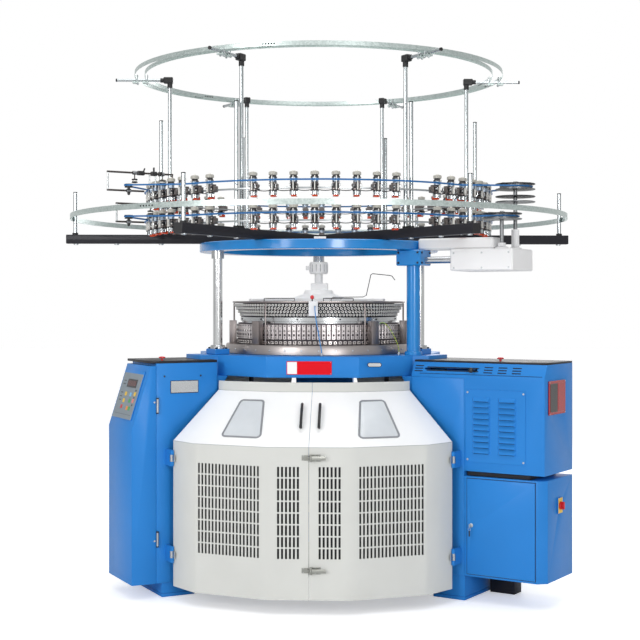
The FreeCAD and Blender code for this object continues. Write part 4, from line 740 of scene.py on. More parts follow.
# Keys and printed bars: middle, half width and height, top, finish, edge.
pads = [(x, y, 0.015, 0.012, 0.0112, finish, 0.001) for x, y, finish in (
    (-0.045, 0.206, key_yellow), (0.11, 0.212, key_yellow), (0.04, 0.206, key_blue), (-0.05, 0.164, key_yellow),
    (0.05, 0.168, key_green), (0.11, 0.17, key_pink), (-0.06, 0.126, key_red), (0.042, 0.122, key_orange),
    (0.08, 0.122, key_green))]
pads += [(0.112, y, 0.01, 0.005, 0.0102, panel_dark, 0.0004) for y in (0.234, 0.19, 0.144)]
pads += [(-0.12, y, 0.02, 0.003, 0.0098, panel_dark, 0.0003) for y in (0.286, 0.266, 0.212, 0.188, 0.166)]
pads.append((-0.0075, 0.083, 0.1425, 0.001, 0.0098, panel_dark, 0.0003))
for x, y, wide, tall, top, finish, edge in pads:
    keys.block((x - wide, y - tall, 0.009), (x + wide, y + tall, top), finish, edge, slope)
keys.done("key_panel_keys", "grey_plastic", body="console")

trim = Workpiece()
for level in (0.34, 1.16):
    trim.rod((1.2, 0.2125, level), (1.2, 0.2155, level), 0.006, zinc, 12, 0.001, LEFT_LEG)
HINGE_PARTS = ((-0.04, 0.04, 0.0075, hinge_zinc), (-0.047, -0.04, 0.0078, panel_dark),
               (0.04, 0.047, 0.0078, panel_dark))
for level, (low, high, radius, finish) in product((0.35, 1.14), HINGE_PARTS):
    trim.rod((1.184, 0.219, level + low), (1.184, 0.219, level + high), radius, finish, 14, 0.001, LEFT_LEG)
trim.block((0.922, 0.2125, 1.21), (1.101, 0.2145, 1.286), panel_dark, 0.001, LEFT_LEG)
trim.block((0.926, 0.214, 1.214), (1.097, 0.2155, 1.282), silver_badge, 0.001, LEFT_LEG)
for x in (0.9074, 1.139):
    trim.rod((x, 0.2125, 1.312), (x, 0.2165, 1.312), 0.0055, panel_dark, 14, 0.001, LEFT_LEG)
trim.done("console_hinges", "zinc_plate")

# Stop buttons: red moulded mushroom heads on a short stem through each black plate.

stop_red = plastic("stop_red", "D0121B", 0.28, 0.4)
for name, x, y, level, turn in (("stop_button_left", 1.13, 0.15, 1.405, LEFT_LEG),
                                ("stop_button_right", 1.332, -0.1, 1.407, RIGHT_LEG)):
    button = Workpiece()
    low = level + 0.012
    button.turned([(0.0065, level - 0.005), (0.0065, low), (0.017, low + 0.0005), (0.02, low + 0.004),
                   (0.0195, low + 0.008), (0.015, low + 0.0112), (0.006, low + 0.0119)],
                  stop_red, 32, turn @ shift(x, y, 0))
    button.done(name + "_head", "red_plastic", name, body=name)

# ---- Right housing -------------------------------------------------------------------------------
# Blue sheet housing over the main drive: a louvred panel, a slotted strip with the speed
# lever, and a red-framed window on its end.

softened("housing_right", blue_enamel, 0.0015)
shadow_black = plastic("shadow_black", "0B0C0E", 0.8)
HOUSING_FACE = -0.212
LOUVRE_LEFT, LOUVRE_RIGHT = 1.163, 1.541
LOUVRE_LOW, LOUVRE_HIGH = 0.82, 1.242
LOUVRE_PITCH = 0.0335
HOOD_HALF = 0.056
hood = Workpiece()
section = [(0.0, -0.003), (-0.0125, -0.0015), (-0.015, 0.0015), (-0.014, 0.005), (0.0, 0.025)]
hood.hoops([(side * (HOOD_HALF + y * 0.7), y, z) for side in (-1, 1) for y, z in section], 5, blue_enamel)
hood.block((0.01 - HOOD_HALF, -0.011, -0.0036), (HOOD_HALF - 0.01, -0.0005, -0.0024), shadow_black, 0.0003)
louvres = Workpiece()
louvres.block((LOUVRE_LEFT, HOUSING_FACE - 0.0033, LOUVRE_LOW), (LOUVRE_RIGHT, HOUSING_FACE - 0.0003, LOUVRE_HIGH),
              blue_enamel, 0.001, RIGHT_LEG)
louvres.repeat(hood, [RIGHT_LEG @ shift(LOUVRE_LEFT + (LOUVRE_RIGHT - LOUVRE_LEFT) * share, HOUSING_FACE - 0.003,
                                        LOUVRE_LOW + 0.055 + row * LOUVRE_PITCH)
                      for share in (0.27, 0.7) for row in range(10)])
for x, z in product((LOUVRE_LEFT + 0.012, LOUVRE_RIGHT - 0.012), (LOUVRE_LOW + 0.015, LOUVRE_HIGH - 0.015)):
    louvres.rod((x, HOUSING_FACE - 0.0032, z), (x, HOUSING_FACE - 0.0062, z), 0.006, zinc, 14, 0.001, RIGHT_LEG)
louvres.done("louvred_panel", "blue_paint", "louvre_panel")

strip = Workpiece()
strip_place = RIGHT_LEG @ shift(0, HOUSING_FACE, 1.32) @ Matrix.Rotation(atan2(-0.04, 0.075), 4, "X")
for x, z in product((0.815, 1.27, 1.36, 1.45), (0.022, 0.039, 0.056)):
    strip.block((x, -0.001, z), (x + 0.055, 0.0005, z + 0.006), shadow_black, 0.0002, strip_place)
# Black strips above and below the lever's slot are painted shade of the slot.
for low in (0.0272, 0.0482):
    strip.block((0.895, -0.0012, low), (1.236, 0.0005, low + 0.0065), shadow_black, 0.0004, strip_place)
strip.block((0.855, -0.0012, 0.008), (1.64, 0.0004, 0.0105), black_enamel, 0.0002, strip_place)
strip.done("slotted_strip", "black_paint")

LEVER_SPOT, LEVER_LEVEL = 1.207, 1.356
lever = Workpiece()
lever.rod((LEVER_SPOT, -0.226, LEVER_LEVEL), (LEVER_SPOT, -0.142, LEVER_LEVEL), 0.0055, zinc, 16, 0, RIGHT_LEG)
lever.turned([(0.006, 0.0), (0.011, 0.002), (0.0155, 0.009), (0.016, 0.015), (0.0135, 0.021), (0.006, 0.024)],
             handle_black, 28, RIGHT_LEG @ shift(LEVER_SPOT, -0.222, LEVER_LEVEL) @ quarter("X"))
lever.done("speed_lever", "black_plastic", "slider_knob", body="slider_knob")


def tinted(name, code):
    """Tinted acrylic over a dark back."""
    material, shader, place = new_finish(name)
    feed(shader, Base_Color=place.noise(6.0).depths(paint_code(code), 0.8, 1.0), Roughness=0.08, Coat_Weight=0.5)
    return material


window_red = tinted("window_red", "B0121C")
window_dark = tinted("window_dark", "1A1013")
end_face = RIGHT_LEG @ shift(1.657, 0, 0)
window = Workpiece()
window.block((0.0003, -0.163, 1.108), (0.008, 0.077, 1.302), window_red, 0.002, end_face)
window.block((0.006, -0.148, 1.123), (0.0094, -0.043, 1.287), window_dark, 0.001, end_face)
window.block((0.006, -0.037, 1.123), (0.0094, 0.062, 1.287), window_red, 0.001, end_face)
for y, z in product((-0.156, 0.07), (1.115, 1.295)):
    window.rod((0.0078, y, z), (0.0098, y, z), 0.004, zinc, 10, 0.0008, end_face)
window.done("end_window", "tinted_pane", "side_window")
spacer = Workpiece()
spacer.block((1.16, -0.192, 0.7354), (1.56, 0.19, 0.7646), black_enamel, 0.004, RIGHT_LEG)
spacer.done("housing_spacer", "black_paint")

# ---- Electrical cabinet --------------------------------------------------------------------------
# Blue sheet box with a black foot on the right leg: a hinged door, a quarter-turn lock with its
# key, and the red and yellow main switch on its end.

FOOT_TOP = 0.1485
cabinet = softened("electrical_cabinet", blue_enamel, 0.0015)
cabinet.data.materials.append(black_enamel)
for face in cabinet.data.polygons:
    if face.center.z < FOOT_TOP:
        face.material_index = 1
softened("cabinet_door", blue_enamel, 0.002, "cabinet_door")
seal = Workpiece()
for left, low, right, high in ((1.168, 0.161, 1.1713, 0.726), (1.6007, 0.161, 1.604, 0.726),
                               (1.168, 0.161, 1.604, 0.1643), (1.168, 0.7227, 1.604, 0.726)):
    seal.block((left, -0.2128, low), (right, -0.2115, high), black_rubber, 0.0004, RIGHT_LEG)
seal.done("door_seal", "black_rubber")
switch_yellow = plastic("switch_yellow", "E9BE1B", 0.35, 0.2)
switch_red = plastic("switch_red", "C9141C", 0.3, 0.3)
lock = Workpiece()
lock_place = RIGHT_LEG @ shift(1.2, -0.213, 0.45) @ quarter("X")
lock.turned([(0.0088, -0.001), (0.0088, 0.003), (0.0125, 0.0056), (0.012, 0.008), (0.0085, 0.0088)], zinc, 28,
            lock_place)
lock.block((-0.0018, -0.013, 0.008), (0.0018, 0.01, 0.033), zinc, 0.0007, lock_place)
key_ring = [(0.0075 * sin(pi * i / 8), -0.02 + 0.0075 * cos(pi * i / 8), 0.03) for i in range(16)]
lock.wire(key_ring, 0.0009, zinc, 6, closed=True, at=lock_place)
lock.block((-0.0045, -0.062, 0.0295), (0.0045, -0.027, 0.031), panel_dark, 0.0005, lock_place)
lock.done("lock_and_key", "zinc_plate", "door_lock", body="door_lock")
switch = Workpiece()
switch_place = end_face @ shift(0, 0, 0.577) @ quarter("Y")
switch.turned([(0.0078, -0.002), (0.0078, 0.0085), (0.0238, 0.0088), (0.0238, 0.0165), (0.021, 0.018)], switch_red,
              36, switch_place)
switch.block((-0.022, -0.007, 0.0165), (0.022, 0.007, 0.034), switch_red, 0.003, switch_place)
switch.done("switch_handle", "red_plastic", "main_switch", body="main_switch")
plate = Workpiece()
plate.block((0.0079, -0.031, 0.533), (0.0086, 0.031, 0.621), switch_yellow, 0.0003, end_face)
plate.done("switch_plate", "grey_plastic")
moulding_grey = plastic("moulding_grey", "6F7378", 0.5)
refinish("switch_gear", moulding_grey)

# ---- Knitting head -------------------------------------------------------------------------------
# From the bed up: ground saddle ring, the cam carrier with its row of setting squares, the cam
# box with its plates, the sinker ring, and rows of yarn guides flaring to a rim.

ground_steel = metal("ground_steel", "C9CCCE", 0.22, (4.0, 4.0, 220.0), 0.14, 0.06)
saddle_steel = metal("saddle_steel", "ADA6A4", 0.36, (4.0, 4.0, 220.0), 0.14, 0.06)
cam_alloy = metal("cam_alloy", "D6CFCF", 0.3)
bracket_alloy = metal("bracket_alloy", "9A9290", 0.42)
cam_dark = metal("cam_dark", "5B5558", 0.45)
blued_steel = metal("blued_steel", "35363B", 0.35)
polished = metal("polished", "E2E4E5", 0.12, (120.0, 120.0, 3.0), 0.06, 0.02)
bright_plate = metal("bright_plate", "D6D0CD", 0.25)
ceramic_white = plastic("ceramic_white", "EDEBE6", 0.2)

CAM_PLATES = 108
EYELETS = 144
HEAD_BORE = 0.4385
head_turn = turn_z(2.8)


def round_about(radius, level, count, phase=0.0):
    """Places evenly round the head, X outward."""
    return [head_turn @ turn_z(360 * (i + phase) / count - 90) @ shift(radius, 0, level) for i in range(count)]


saddle = Workpiece()
saddle.ring([(0.5205, 1.4302), (0.597, 1.4302), (0.6, 1.4335), (0.6, 1.476), (0.594, 1.4895), (0.5205, 1.4895)],
            saddle_steel)
saddle.ring([(0.446, 1.4903), (0.526, 1.4903), (0.5295, 1.4935), (0.5295, 1.516), (0.526, 1.5198), (0.446, 1.5198)],
            cam_dark)
square = Workpiece()
square.block((0.0, -0.01, -0.0095), (0.0055, 0.01, 0.0095), bright_plate, 0.001)
square.rod((0.005, 0, 0), (0.0085, 0, 0), 0.0042, blued_steel, 10, 0.001)
saddle.repeat(square, round_about(0.5295, 1.505, CAM_PLATES, 0.25))
bolt = Workpiece()
bolt.rod((0.0, 0, 0), (0.005, 0, 0), 0.0055, zinc, 12, 0.001)
saddle.repeat(bolt, round_about(0.5985, 1.459, 36))
saddle.done("saddle_and_carrier", "bright_steel", "saddle_ring")

cams = Workpiece()
cams.ring([(HEAD_BORE, 1.5203), (0.5185, 1.5203), (0.5185, 1.6218), (HEAD_BORE, 1.6218)], cam_dark)
cam_plate = Workpiece()
cam_plate.block((0.0, -0.0116, -0.046), (0.0085, 0.0116, 0.044), cam_alloy, 0.0016)
cam_plate.rod((0.008, 0, 0.006), (0.0115, 0, 0.006), 0.008, bright_plate, 18, 0.0012)
cam_plate.rod((0.011, 0, 0.006), (0.013, 0, 0.006), 0.0036, blued_steel, 10, 0.0008)
for height in (-0.036, 0.036):
    cam_plate.rod((0.008, 0, height), (0.0105, 0, height), 0.0036, blued_steel, 10, 0.0006)
cam_plate.block((0.008, -0.006, -0.026), (0.0105, 0.006, -0.012), cam_dark, 0.0008)
cams.repeat(cam_plate, round_about(0.5175, 1.57, CAM_PLATES))
cams.done("cam_boxes", "cam_alloy", "cam_box")

sinkers = Workpiece()
sinkers.ring([(HEAD_BORE, 1.6222), (0.496, 1.6222), (0.496, 1.632), (0.5045, 1.634), (0.5045, 1.6588),
              (0.501, 1.6618), (HEAD_BORE, 1.6618)], ground_steel)
screw = Workpiece()
screw.rod((0, 0, 0), (0.006, 0, 0), 0.005, blued_steel, 10, 0.001)
sinkers.repeat(screw, round_about(0.503, 1.647, 12, 0.5))
sinkers.done("sinker_caps", "bright_steel", "sinker_ring")

guides = Workpiece()
guides.ring([(HEAD_BORE, 1.6622), (0.489, 1.6622), (0.489, 1.7448), (HEAD_BORE, 1.7448)], blued_steel)
guides.ring([(HEAD_BORE, 1.7448), (0.545, 1.7452), (0.5555, 1.75), (0.5555, 1.756), (0.552, 1.7588),
             (HEAD_BORE, 1.7588)], bracket_alloy)
eyelet = Workpiece()
eyelet.turned([(0.0042, -0.0014), (0.0082, -0.0014), (0.0082, 0.0014), (0.0042, 0.0014)], ceramic_white, 10,
              quarter("Y"), closed=True)
eyelet.rod((-0.045, 0, -0.0075), (0.001, 0, -0.0075), 0.0026, cam_dark, 6)
eyelet.rod((-0.045, 0, 0), (-0.006, 0, 0), 0.004, shadow_black, 8)
for row, (radius, height) in enumerate(((0.5075, 1.6745), (0.52, 1.6945), (0.532, 1.7145), (0.543, 1.734))):
    guides.repeat(eyelet, round_about(radius, height, EYELETS, 0.5 * (row % 2)))
tooth = Workpiece()
tooth.block((0.0, -0.0045, -0.004), (0.012, 0.0045, 0.0035), bright_plate, 0.001)
guides.repeat(tooth, round_about(0.543, 1.7545, 2 * EYELETS))
guides.block((-0.033, -0.568, 1.668), (0.022, -0.552, 1.7585), white_enamel, 0.002)
# A red knob stands at the rim, and a bent wire that keeps yarn off the blower rises on the right.
guides.rod((-0.013, -0.538, 1.758), (-0.013, -0.538, 1.783), 0.0035, blued_steel, 10)
guides.turned([(0.004, -0.004), (0.0105, -0.002), (0.0125, 0.003), (0.0125, 0.009), (0.0095, 0.014), (0.003, 0.0155)],
              stop_red, 24, shift(-0.013, -0.538, 1.783) @ quarter("X"))
guides.wire([(0.1, -0.525, 1.7585), (0.103, -0.525, 1.774), (0.112, -0.524, 1.7825), (0.295, -0.505, 1.7845),
             (0.314, -0.5, 1.794), (0.336, -0.5, 1.893), (0.341, -0.5, 1.918), (0.352, -0.5, 1.926),
             (0.458, -0.5, 1.915), (0.47, -0.5, 1.911), (0.488, -0.5, 1.887)], 0.0024, blued_steel, 8)
# Two arcs of covered wire stand on the rim in front.
for first, last in ((-128, -104), (-84, -63)):
    arc = [turn_z(first + (last - first) * i / 12) @ Vector((0.515, 0, 1.776)) for i in range(13)]
    feet = [Vector((p.x, p.y, 1.7586)) for p in (arc[0], arc[-1])]
    guides.wire([feet[0], *arc, feet[1]], 0.0028, black_rubber, 6)
guides.done("yarn_guides", "dark_steel", "yarn_guide_ring")

softened("head_brackets", bracket_alloy, 0.002)
refinish("bearings", ground_steel)

# ---- Air hose and earth cable --------------------------------------------------------------------
# A blue air hose hangs from the guide plate to the bed, and a striped earth cable from the right
# bracket to the bed. Each is held in a fitting at both ends.


def hanging_cord(name, body, route, radius, finish):
    """A free cord between two fittings, as one smooth line."""
    line = bpy.data.curves.new(name, "CURVE")
    line.dimensions = "3D"
    line.bevel_depth = radius
    line.bevel_resolution = 3
    line.resolution_u = 10
    line.use_fill_caps = True
    strand = line.splines.new("NURBS")
    strand.points.add(len(route) - 1)
    for point, place in zip(strand.points, route):
        point.co = (*place, 1.0)
    strand.order_u = 3
    strand.use_endpoint_u = True
    line.materials.append(finish)
    cord = bpy.data.objects.new(name, line)
    scene.collection.objects.link(cord)
    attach(cord, body)


def striped(name, first, second):
    """Sleeve of two colours in turn along its height."""
    material, shader, place = new_finish(name)
    bands = place.axis(2).waves(380.0)
    feed(shader, Base_Color=(bands > 0.1).between(paint_code(first), paint_code(second)), Roughness=0.45)
    return material


hose_blue = plastic("hose_blue", "2E86CC", 0.35)
earth_sleeve = striped("earth_sleeve", "B9B83C", "6E9A4C")
HOSE = [(0.005, -0.5775, 1.727), (0.005, -0.592, 1.724), (0.007, -0.603, 1.7), (0.013, -0.609, 1.645),
        (0.03, -0.622, 1.56), (0.04, -0.64, 1.5), (0.049, -0.66, 1.465), (0.049, -0.662, 1.446)]
hanging_cord("air_hose", "machine", HOSE, 0.003, hose_blue)
EARTH = [(0.395, -0.427, 1.622), (0.401, -0.434, 1.6255), (0.42, -0.448, 1.629), (0.452, -0.461, 1.602),
         (0.494, -0.458, 1.524), (0.512, -0.455, 1.475), (0.513, -0.455, 1.446)]
hanging_cord("earth_cable", "machine", EARTH, 0.0025, earth_sleeve)
cord_ends = Workpiece()
for start, end, radius in (((0.005, -0.5675, 1.727), (0.005, -0.5785, 1.727), 0.0062),
                           ((0.049, -0.662, 1.4302), (0.049, -0.662, 1.448), 0.0062),
                           ((0.513, -0.455, 1.4302), (0.513, -0.455, 1.448), 0.006),
                           ((0.3885, -0.42, 1.618), (0.396, -0.428, 1.6225), 0.006)):
    cord_ends.rod(start, end, radius, zinc, 14, 0.0008)
cord_ends.done("cord_fittings", "zinc_plate")

# ---- Needle cylinder and take-down ---------------------------------------------------------------
# The needle cylinder is a hardened steel ring with a fine slot for every needle; below it turn
# the gear, the take-down beams and the cloth rollers.


def needle_tricks(name):
    """Fine upright slots round the cylinder; their dark stripes are painted shade in the slots."""
    material, shader, place = new_finish(name)
    slots = place.maths("ARCTAN2", place.axis(1), place.axis(0)).waves(1200.0)
    feed(shader, Base_Color=(slots * 0.5 + 0.5).between(paint_code("77797C"), paint_code("D5D7D9")), Metallic=1.0,
         Roughness=0.28, Normal=slots.bump(0.4, 0.0008))
    return material


refinish("needle_cylinder", needle_tricks("needle_tricks"))
refinish("ring_gear", ground_steel)
softened("takedown_frame", oiled_iron, 0.003, "cylinder")
ribbed_rubber = plastic("ribbed_rubber", "202123", 0.7)
JOURNAL = 0.0119
JOURNAL_LONG = 0.0206
for roller, cover, slot in (("takedown_roller_front", ribbed_rubber, "black_rubber"),
                            ("takedown_roller_rear", ribbed_rubber, "black_rubber"),
                            ("cloth_roll_shaft", zinc, "zinc_plate")):
    low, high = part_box(roller)
    radius = (high.z - low.z) / 2
    reach = high.x
    barrel = reach - JOURNAL_LONG
    work = Workpiece()
    work.turned([(JOURNAL, -reach), (JOURNAL, -barrel), (radius, -barrel + 0.0004), (radius, barrel - 0.0004),
                 (JOURNAL, barrel), (JOURNAL, reach)], cover, 28,
                shift(0, (low.y + high.y) / 2, (low.z + high.z) / 2) @ quarter("Y"))
    work.done(roller + "_turned", slot, roller, body=roller)
refinish("pinion_shaft", ground_steel)
refinish("motor", oiled_iron)
refinish("motor_pulley", oiled_iron)
refinish("drive_belt", black_rubber)

# ---- Lint blower ---------------------------------------------------------------------------------
# A white fan unit over the middle of the head: a motor box on three arms, a thin neck, and a
# drum head that turns with its nozzle.

blower_white = plastic("blower_white", "FAFAFA", 0.5)
stand = Workpiece()
stand.turned([(0.19, 1.7595), (0.188, 1.776), (0.15, 1.786), (0.1, 1.806), (0.088, 1.829)], blower_white, 48)
for turn in (RIGHT_LEG, LEFT_LEG, REAR_LEG):
    stand.block((0.05, -0.016, 1.7592), (0.488, 0.016, 1.775), blower_white, 0.003, turn)
stand.block((-0.05, -0.04, 1.829), (0.06, 0.04, 1.8748), blower_white, 0.006)
stand.done("blower_arms", "white_paint", "blower_stand")
head = Workpiece()
head.turned([(0.026, 1.8755), (0.026, 1.9325), (0.05, 1.9335), (0.0605, 1.942), (0.0605, 2.0), (0.054, 2.0108)],
            blower_white, 40)
head.turned([(0.0125, 0.0), (0.0125, 0.06), (0.0135, 0.078), (0.0135, 0.083)], blower_white, 20,
            shift(0, 0, 1.972) @ quarter("Y").inverted())
for i in range(14):
    head.block((0.058, -0.002, 1.948), (0.0608, 0.002, 1.995), moulding_grey, 0.0006, turn_z(360 * i / 14))
head.done("blower_drum", "white_paint", "blower_head", body="blower_head")

# ---- Columns, crown ring and feeder drive --------------------------------------------------------
# Three ground and plated columns on flanges carry the blue crown ring. On the right a blue shaft
# tube rises to the bevel box, and a cross tube leads out to the white gearbox of the feeder drive.

crown_blue = enamel("crown_blue", "0583CF", 0.24, 0.5, 0.45)
CROWN_LOW = 2.071
columns = Workpiece()
for turn in (RIGHT_LEG, LEFT_LEG, REAR_LEG):
    at = head_turn @ turn
    stem = at @ shift(0.722, 0, 0)
    for outline, finish in (
            ([(0.029, 1.462), (0.029, CROWN_LOW - 0.0003)], polished),
            ([(0.046, 1.4645), (0.046, 1.482), (0.042, 1.4875), (0.0292, 1.4878)], ground_steel),
            ([(0.0292, 2.022), (0.039, 2.0225), (0.039, CROWN_LOW - 0.0004)], ground_steel)):
        columns.turned(outline, finish, 48, stem)
    columns.block((0.672, -0.0657, 1.4303), (0.772, 0.0657, 1.465), blue_enamel, 0.004, at)
    for x, y in product((0.689, 0.755), (-0.05, 0.05)):
        columns.rod((x, y, 1.4645), (x, y, 1.474), 0.009, blued_steel, 6, 0.001, at)
columns.done("polished_columns", "tube_chrome", "columns")

crown = Workpiece()
crown.ring([(0.642, 2.0712), (0.762, 2.0712), (0.7665, 2.0755), (0.7665, 2.1235), (0.762, 2.1278), (0.642, 2.1278),
            (0.638, 2.1235), (0.638, 2.0755)], crown_blue)
crown.block((0.009, -0.7645, 2.1276), (0.08, -0.745, 2.141), white_enamel, 0.002)
crown.done("crown_casting", "crown_paint", "crown_ring")

drive_turn = head_turn @ RIGHT_LEG
drive = Workpiece()
tube_place = drive_turn @ shift(0.732, -0.108, 0)
drive.turned([(0.042, 1.4305), (0.042, 1.976)], crown_blue, 48, tube_place)
drive.turned([(0.054, 1.4305), (0.054, 1.448), (0.05, 1.453), (0.0422, 1.4532)], crown_blue, 48, tube_place)
drive.block((0.65, -0.185, 1.975), (0.815, -0.032, 2.0707), crown_blue, 0.006, drive_turn)
for z in (1.992, 2.054):
    for y in (-0.165, -0.052):
        drive.rod((0.8148, y, z), (0.8205, y, z), 0.007, blued_steel, 6, 0.001, drive_turn)
    for x in (0.668, 0.797):
        drive.rod((x, -0.1848, z), (x, -0.1905, z), 0.007, blued_steel, 6, 0.001, drive_turn)
drive.rod((0.8145, -0.108, 2.008), (0.9949, -0.108, 2.008), 0.021, ground_steel, 36, 0, drive_turn)
drive.done("shaft_tube_and_bevel_box", "crown_paint", "drive_column")

# The two drive shafts stand in the gearbox: lower tier, then upper.
SHAFTS = {"lower": drive_turn @ shift(1.295, -0.07, 0), "upper": drive_turn @ shift(1.323, 0.075, 0)}
cover = Workpiece()
cover.block((0.995, -0.15, 1.94), (1.394, 0.184, 2.0707), white_enamel, 0.008, drive_turn)
cover.block((0.7675, -0.12, 2.071), (1.259, 0.06, 2.1395), white_enamel, 0.01, drive_turn)
for tier, top in (("lower", 2.1055), ("upper", 2.1895)):
    cover.turned([(0.04, 2.0705), (0.04, 2.079), (0.03, 2.084), (0.0235, 2.086), (0.0235, top)], white_enamel, 36,
                 SHAFTS[tier])
for x, z in product((1.02, 1.2, 1.37), (1.958, 2.047)):
    cover.rod((x, -0.1498, z), (x, -0.154, z), 0.006, zinc, 12, 0.001, drive_turn)
cover.done("feeder_gearbox", "white_paint", "gearbox")

disc_grey = metal("disc_grey", "8E9092", 0.4)
disc_black = plastic("disc_black", "2A2B2E", 0.4)
for tier, top, levels in (("lower", 2.295, (2.243, 2.274)), ("upper", 2.48, (2.352, 2.384, 2.428, 2.459))):
    pulley = Workpiece()
    at = SHAFTS[tier]
    pulley.turned([(0.0119, 2.0705), (0.0119, top - 0.002), (0.01, top)], disc_grey, 24, at)
    pulley.turned([(0.094, levels[-2] + 0.004), (0.094, levels[-1] + 0.003)], disc_grey, 48, at)
    for number, level in enumerate(levels):
        rim = [(0.117, level), (0.1195, level + 0.002), (0.1195, level + 0.005), (0.117, level + 0.007)]
        pulley.turned([(0.013, level), *rim, (0.013, level + 0.007)], (disc_grey, disc_black)[number % 2], 64, at, True)
    for i in range(6):
        pulley.block((0.03, -0.006, levels[-1] + 0.0065), (0.1, 0.006, levels[-1] + 0.0115), disc_grey, 0.002,
                     at @ turn_z(60 * i))
    pulley.done("drive_discs_" + tier, "dark_steel", "drive_pulley_" + tier, body="drive_pulley_" + tier)

# ---- Creel beams, posts and side ring ------------------------------------------------------------
# Six square tubes, painted black, radiate from the crown; posts on them carry the outer yarn
# ring of galvanised strip and the taller masts of the top rings.


def galvanised(name):
    """Zinc with a faint crystal pattern."""
    material, shader, place = new_finish(name)
    spangle = place.node("TexVoronoi", {"Vector": place, "Scale": 110.0}, "Color")
    level = place.node("SeparateColor", {0: spangle})
    feed(shader, Base_Color=level.between(paint_code("B9C6C3"), paint_code("CFDAD7")), Metallic=0.75,
         Roughness=level * 0.08 + 0.3)
    return material


strip_zinc = galvanised("strip_zinc")
tube_zinc = metal("tube_zinc", "BFC5C7", 0.2, (60.0, 60.0, 4.0), 0.05, 0.01)
cap_black = plastic("cap_black", "1B1B1D", 0.45)
creel_turn = turn_z(4.8)
SIX = [creel_turn @ turn_z(60 * i) for i in range(6)]
BEAM_LOW, BEAM_TOP = 2.128, 2.185
ARM_LEVEL = 3.18
softened("creel_beams", black_enamel, 0.003)
beam_bolts = Workpiece()
for at in SIX:
    for x in (0.66, 0.745, 1.015, 1.3, 1.56):
        beam_bolts.turned([(0.01, BEAM_LOW - 0.0085), (0.0155, BEAM_LOW - 0.006), (0.0155, BEAM_LOW + 0.0002)], zinc,
                          18, at @ shift(x, 0, 0))
    beam_bolts.block((1.6203, -0.027, BEAM_LOW + 0.003), (1.6205, 0.027, BEAM_TOP - 0.003), cap_black, 0.0001, at)
beam_bolts.done("beam_bolts", "zinc_plate")

tubes = Workpiece()
for at in SIX:
    for x, top in ((1.565, 2.4598), (1.015, 2.9218), (0.959, 3.1598)):
        foot = at @ shift(x, 0, 0)
        tubes.rod((x, 0, BEAM_TOP + 0.0002), (x, 0, top - 0.004), 0.0125, tube_zinc, 28, 0, at)
        tubes.turned([(0.0128, top - 0.006), (0.0128, top - 0.001), (0.011, top)], cap_black, 28, foot)
        tubes.turned([(0.019, BEAM_TOP + 0.0003), (0.019, BEAM_TOP + 0.012), (0.0127, BEAM_TOP + 0.0125)], cap_black,
                     24, foot)
    tubes.rod((1.0002, 0, ARM_LEVEL), (1.3035, 0, ARM_LEVEL), 0.0099, tube_zinc, 24, 0, at)
    tubes.rod((1.296, 0, ARM_LEVEL), (1.306, 0, ARM_LEVEL), 0.0105, cap_black, 24, 0.001, at)
tubes.done("creel_posts_and_arms", "galvanised", "creel_tubes")

STRIP_THICK = 0.0036
HOLE_PITCH = 0.8


def strip_ring(work, radius, low, high, holes_at):
    """Rolled strip with small groups of holes at its joins, drawn as black plugs of painted shade."""
    inner = radius - STRIP_THICK
    work.ring([(inner, low), (radius, low), (radius, high), (inner, high)], strip_zinc, 192)
    for angle, hole in product(holes_at, range(-2, 3)):
        at = turn_z(angle + hole * HOLE_PITCH) @ shift(0, 0, (low + high) / 2)
        work.rod((inner - 0.0003, 0, 0), (radius + 0.0003, 0, 0), 0.005, shadow_black, 12, 0, at)


side_ring = Workpiece()
strip_ring(side_ring, 1.5815, 2.2712, 2.3028, (235.8,))
side_ring.done("side_yarn_ring", "galvanised", "creel_hoop")
top_rings = Workpiece()
strip_ring(top_rings, 1.1795, 3.1904, 3.2152, (-101, 19, 139))
strip_ring(top_rings, 1.1155, 3.1904, 3.2152, (-103, 17, 137))
top_rings.done("top_yarn_rings", "galvanised", "top_hoops")

fittings = Workpiece()
for at in SIX:
    fittings.block((0.939, -0.02, 3.1602), (0.999, 0.02, 3.1998), cap_black, 0.004, at)
    fittings.rod((0.985, 0, ARM_LEVEL), (1.02, 0, ARM_LEVEL), 0.0145, cap_black, 20, 0.001, at)
    fittings.rod((0.959, 0, 3.13), (0.959, 0, 3.165), 0.0165, cap_black, 20, 0.001, at)
    for radius in (1.18, 1.116):
        fittings.block((radius - 0.022, -0.021, 3.1588), (radius + 0.018, 0.021, 3.1696), strip_zinc, 0.0015, at)
        x = radius - 0.013
        for y in (-0.014, 0.014):
            fittings.rod((x, y, 3.157), (x, y, 3.2145), 0.003, zinc, 8, 0.0005, at)
            fittings.rod((x, y, 3.1525), (x, y, 3.1585), 0.0055, zinc, 6, 0.0005, at)
fittings.done("arm_fittings_black", "black_plastic", "arm_fittings")

# ---- Yarn feeders --------------------------------------------------------------------------------
# Positive feeders on two rails, eight between each pair of posts: a ribbed cap with a black
# skirt, the belt pulley, the black body with an ivory thread bar, a ribbed wheel and a lamp. The
# thread bar is partly a guide rod and partly a painted highlight down the black body.

feeder_cap = plastic("feeder_cap", "B4B2AA", 0.35)
feeder_black = plastic("feeder_black", "1E1D20", 0.3, 0.3)
feeder_mount = plastic("feeder_mount", "6B6461", 0.5)
feeder_grey = metal("feeder_grey", "8B8280", 0.32)
pulley_grey = metal("pulley_grey", "A8B4C2", 0.35)
wheel_bright = metal("wheel_bright", "D2D6D8", 0.18)
ivory = plastic("ivory", "F1EFE9", 0.3)
lamp_orange = plastic("lamp_orange", "D9481C", 0.2, 0.5)
RAILS = {"upper": 2.402, "lower": 2.217}
RAIL_THICK = 0.008
FEEDER_SPOT = 1.0833
FEEDER_PITCH = 6.35

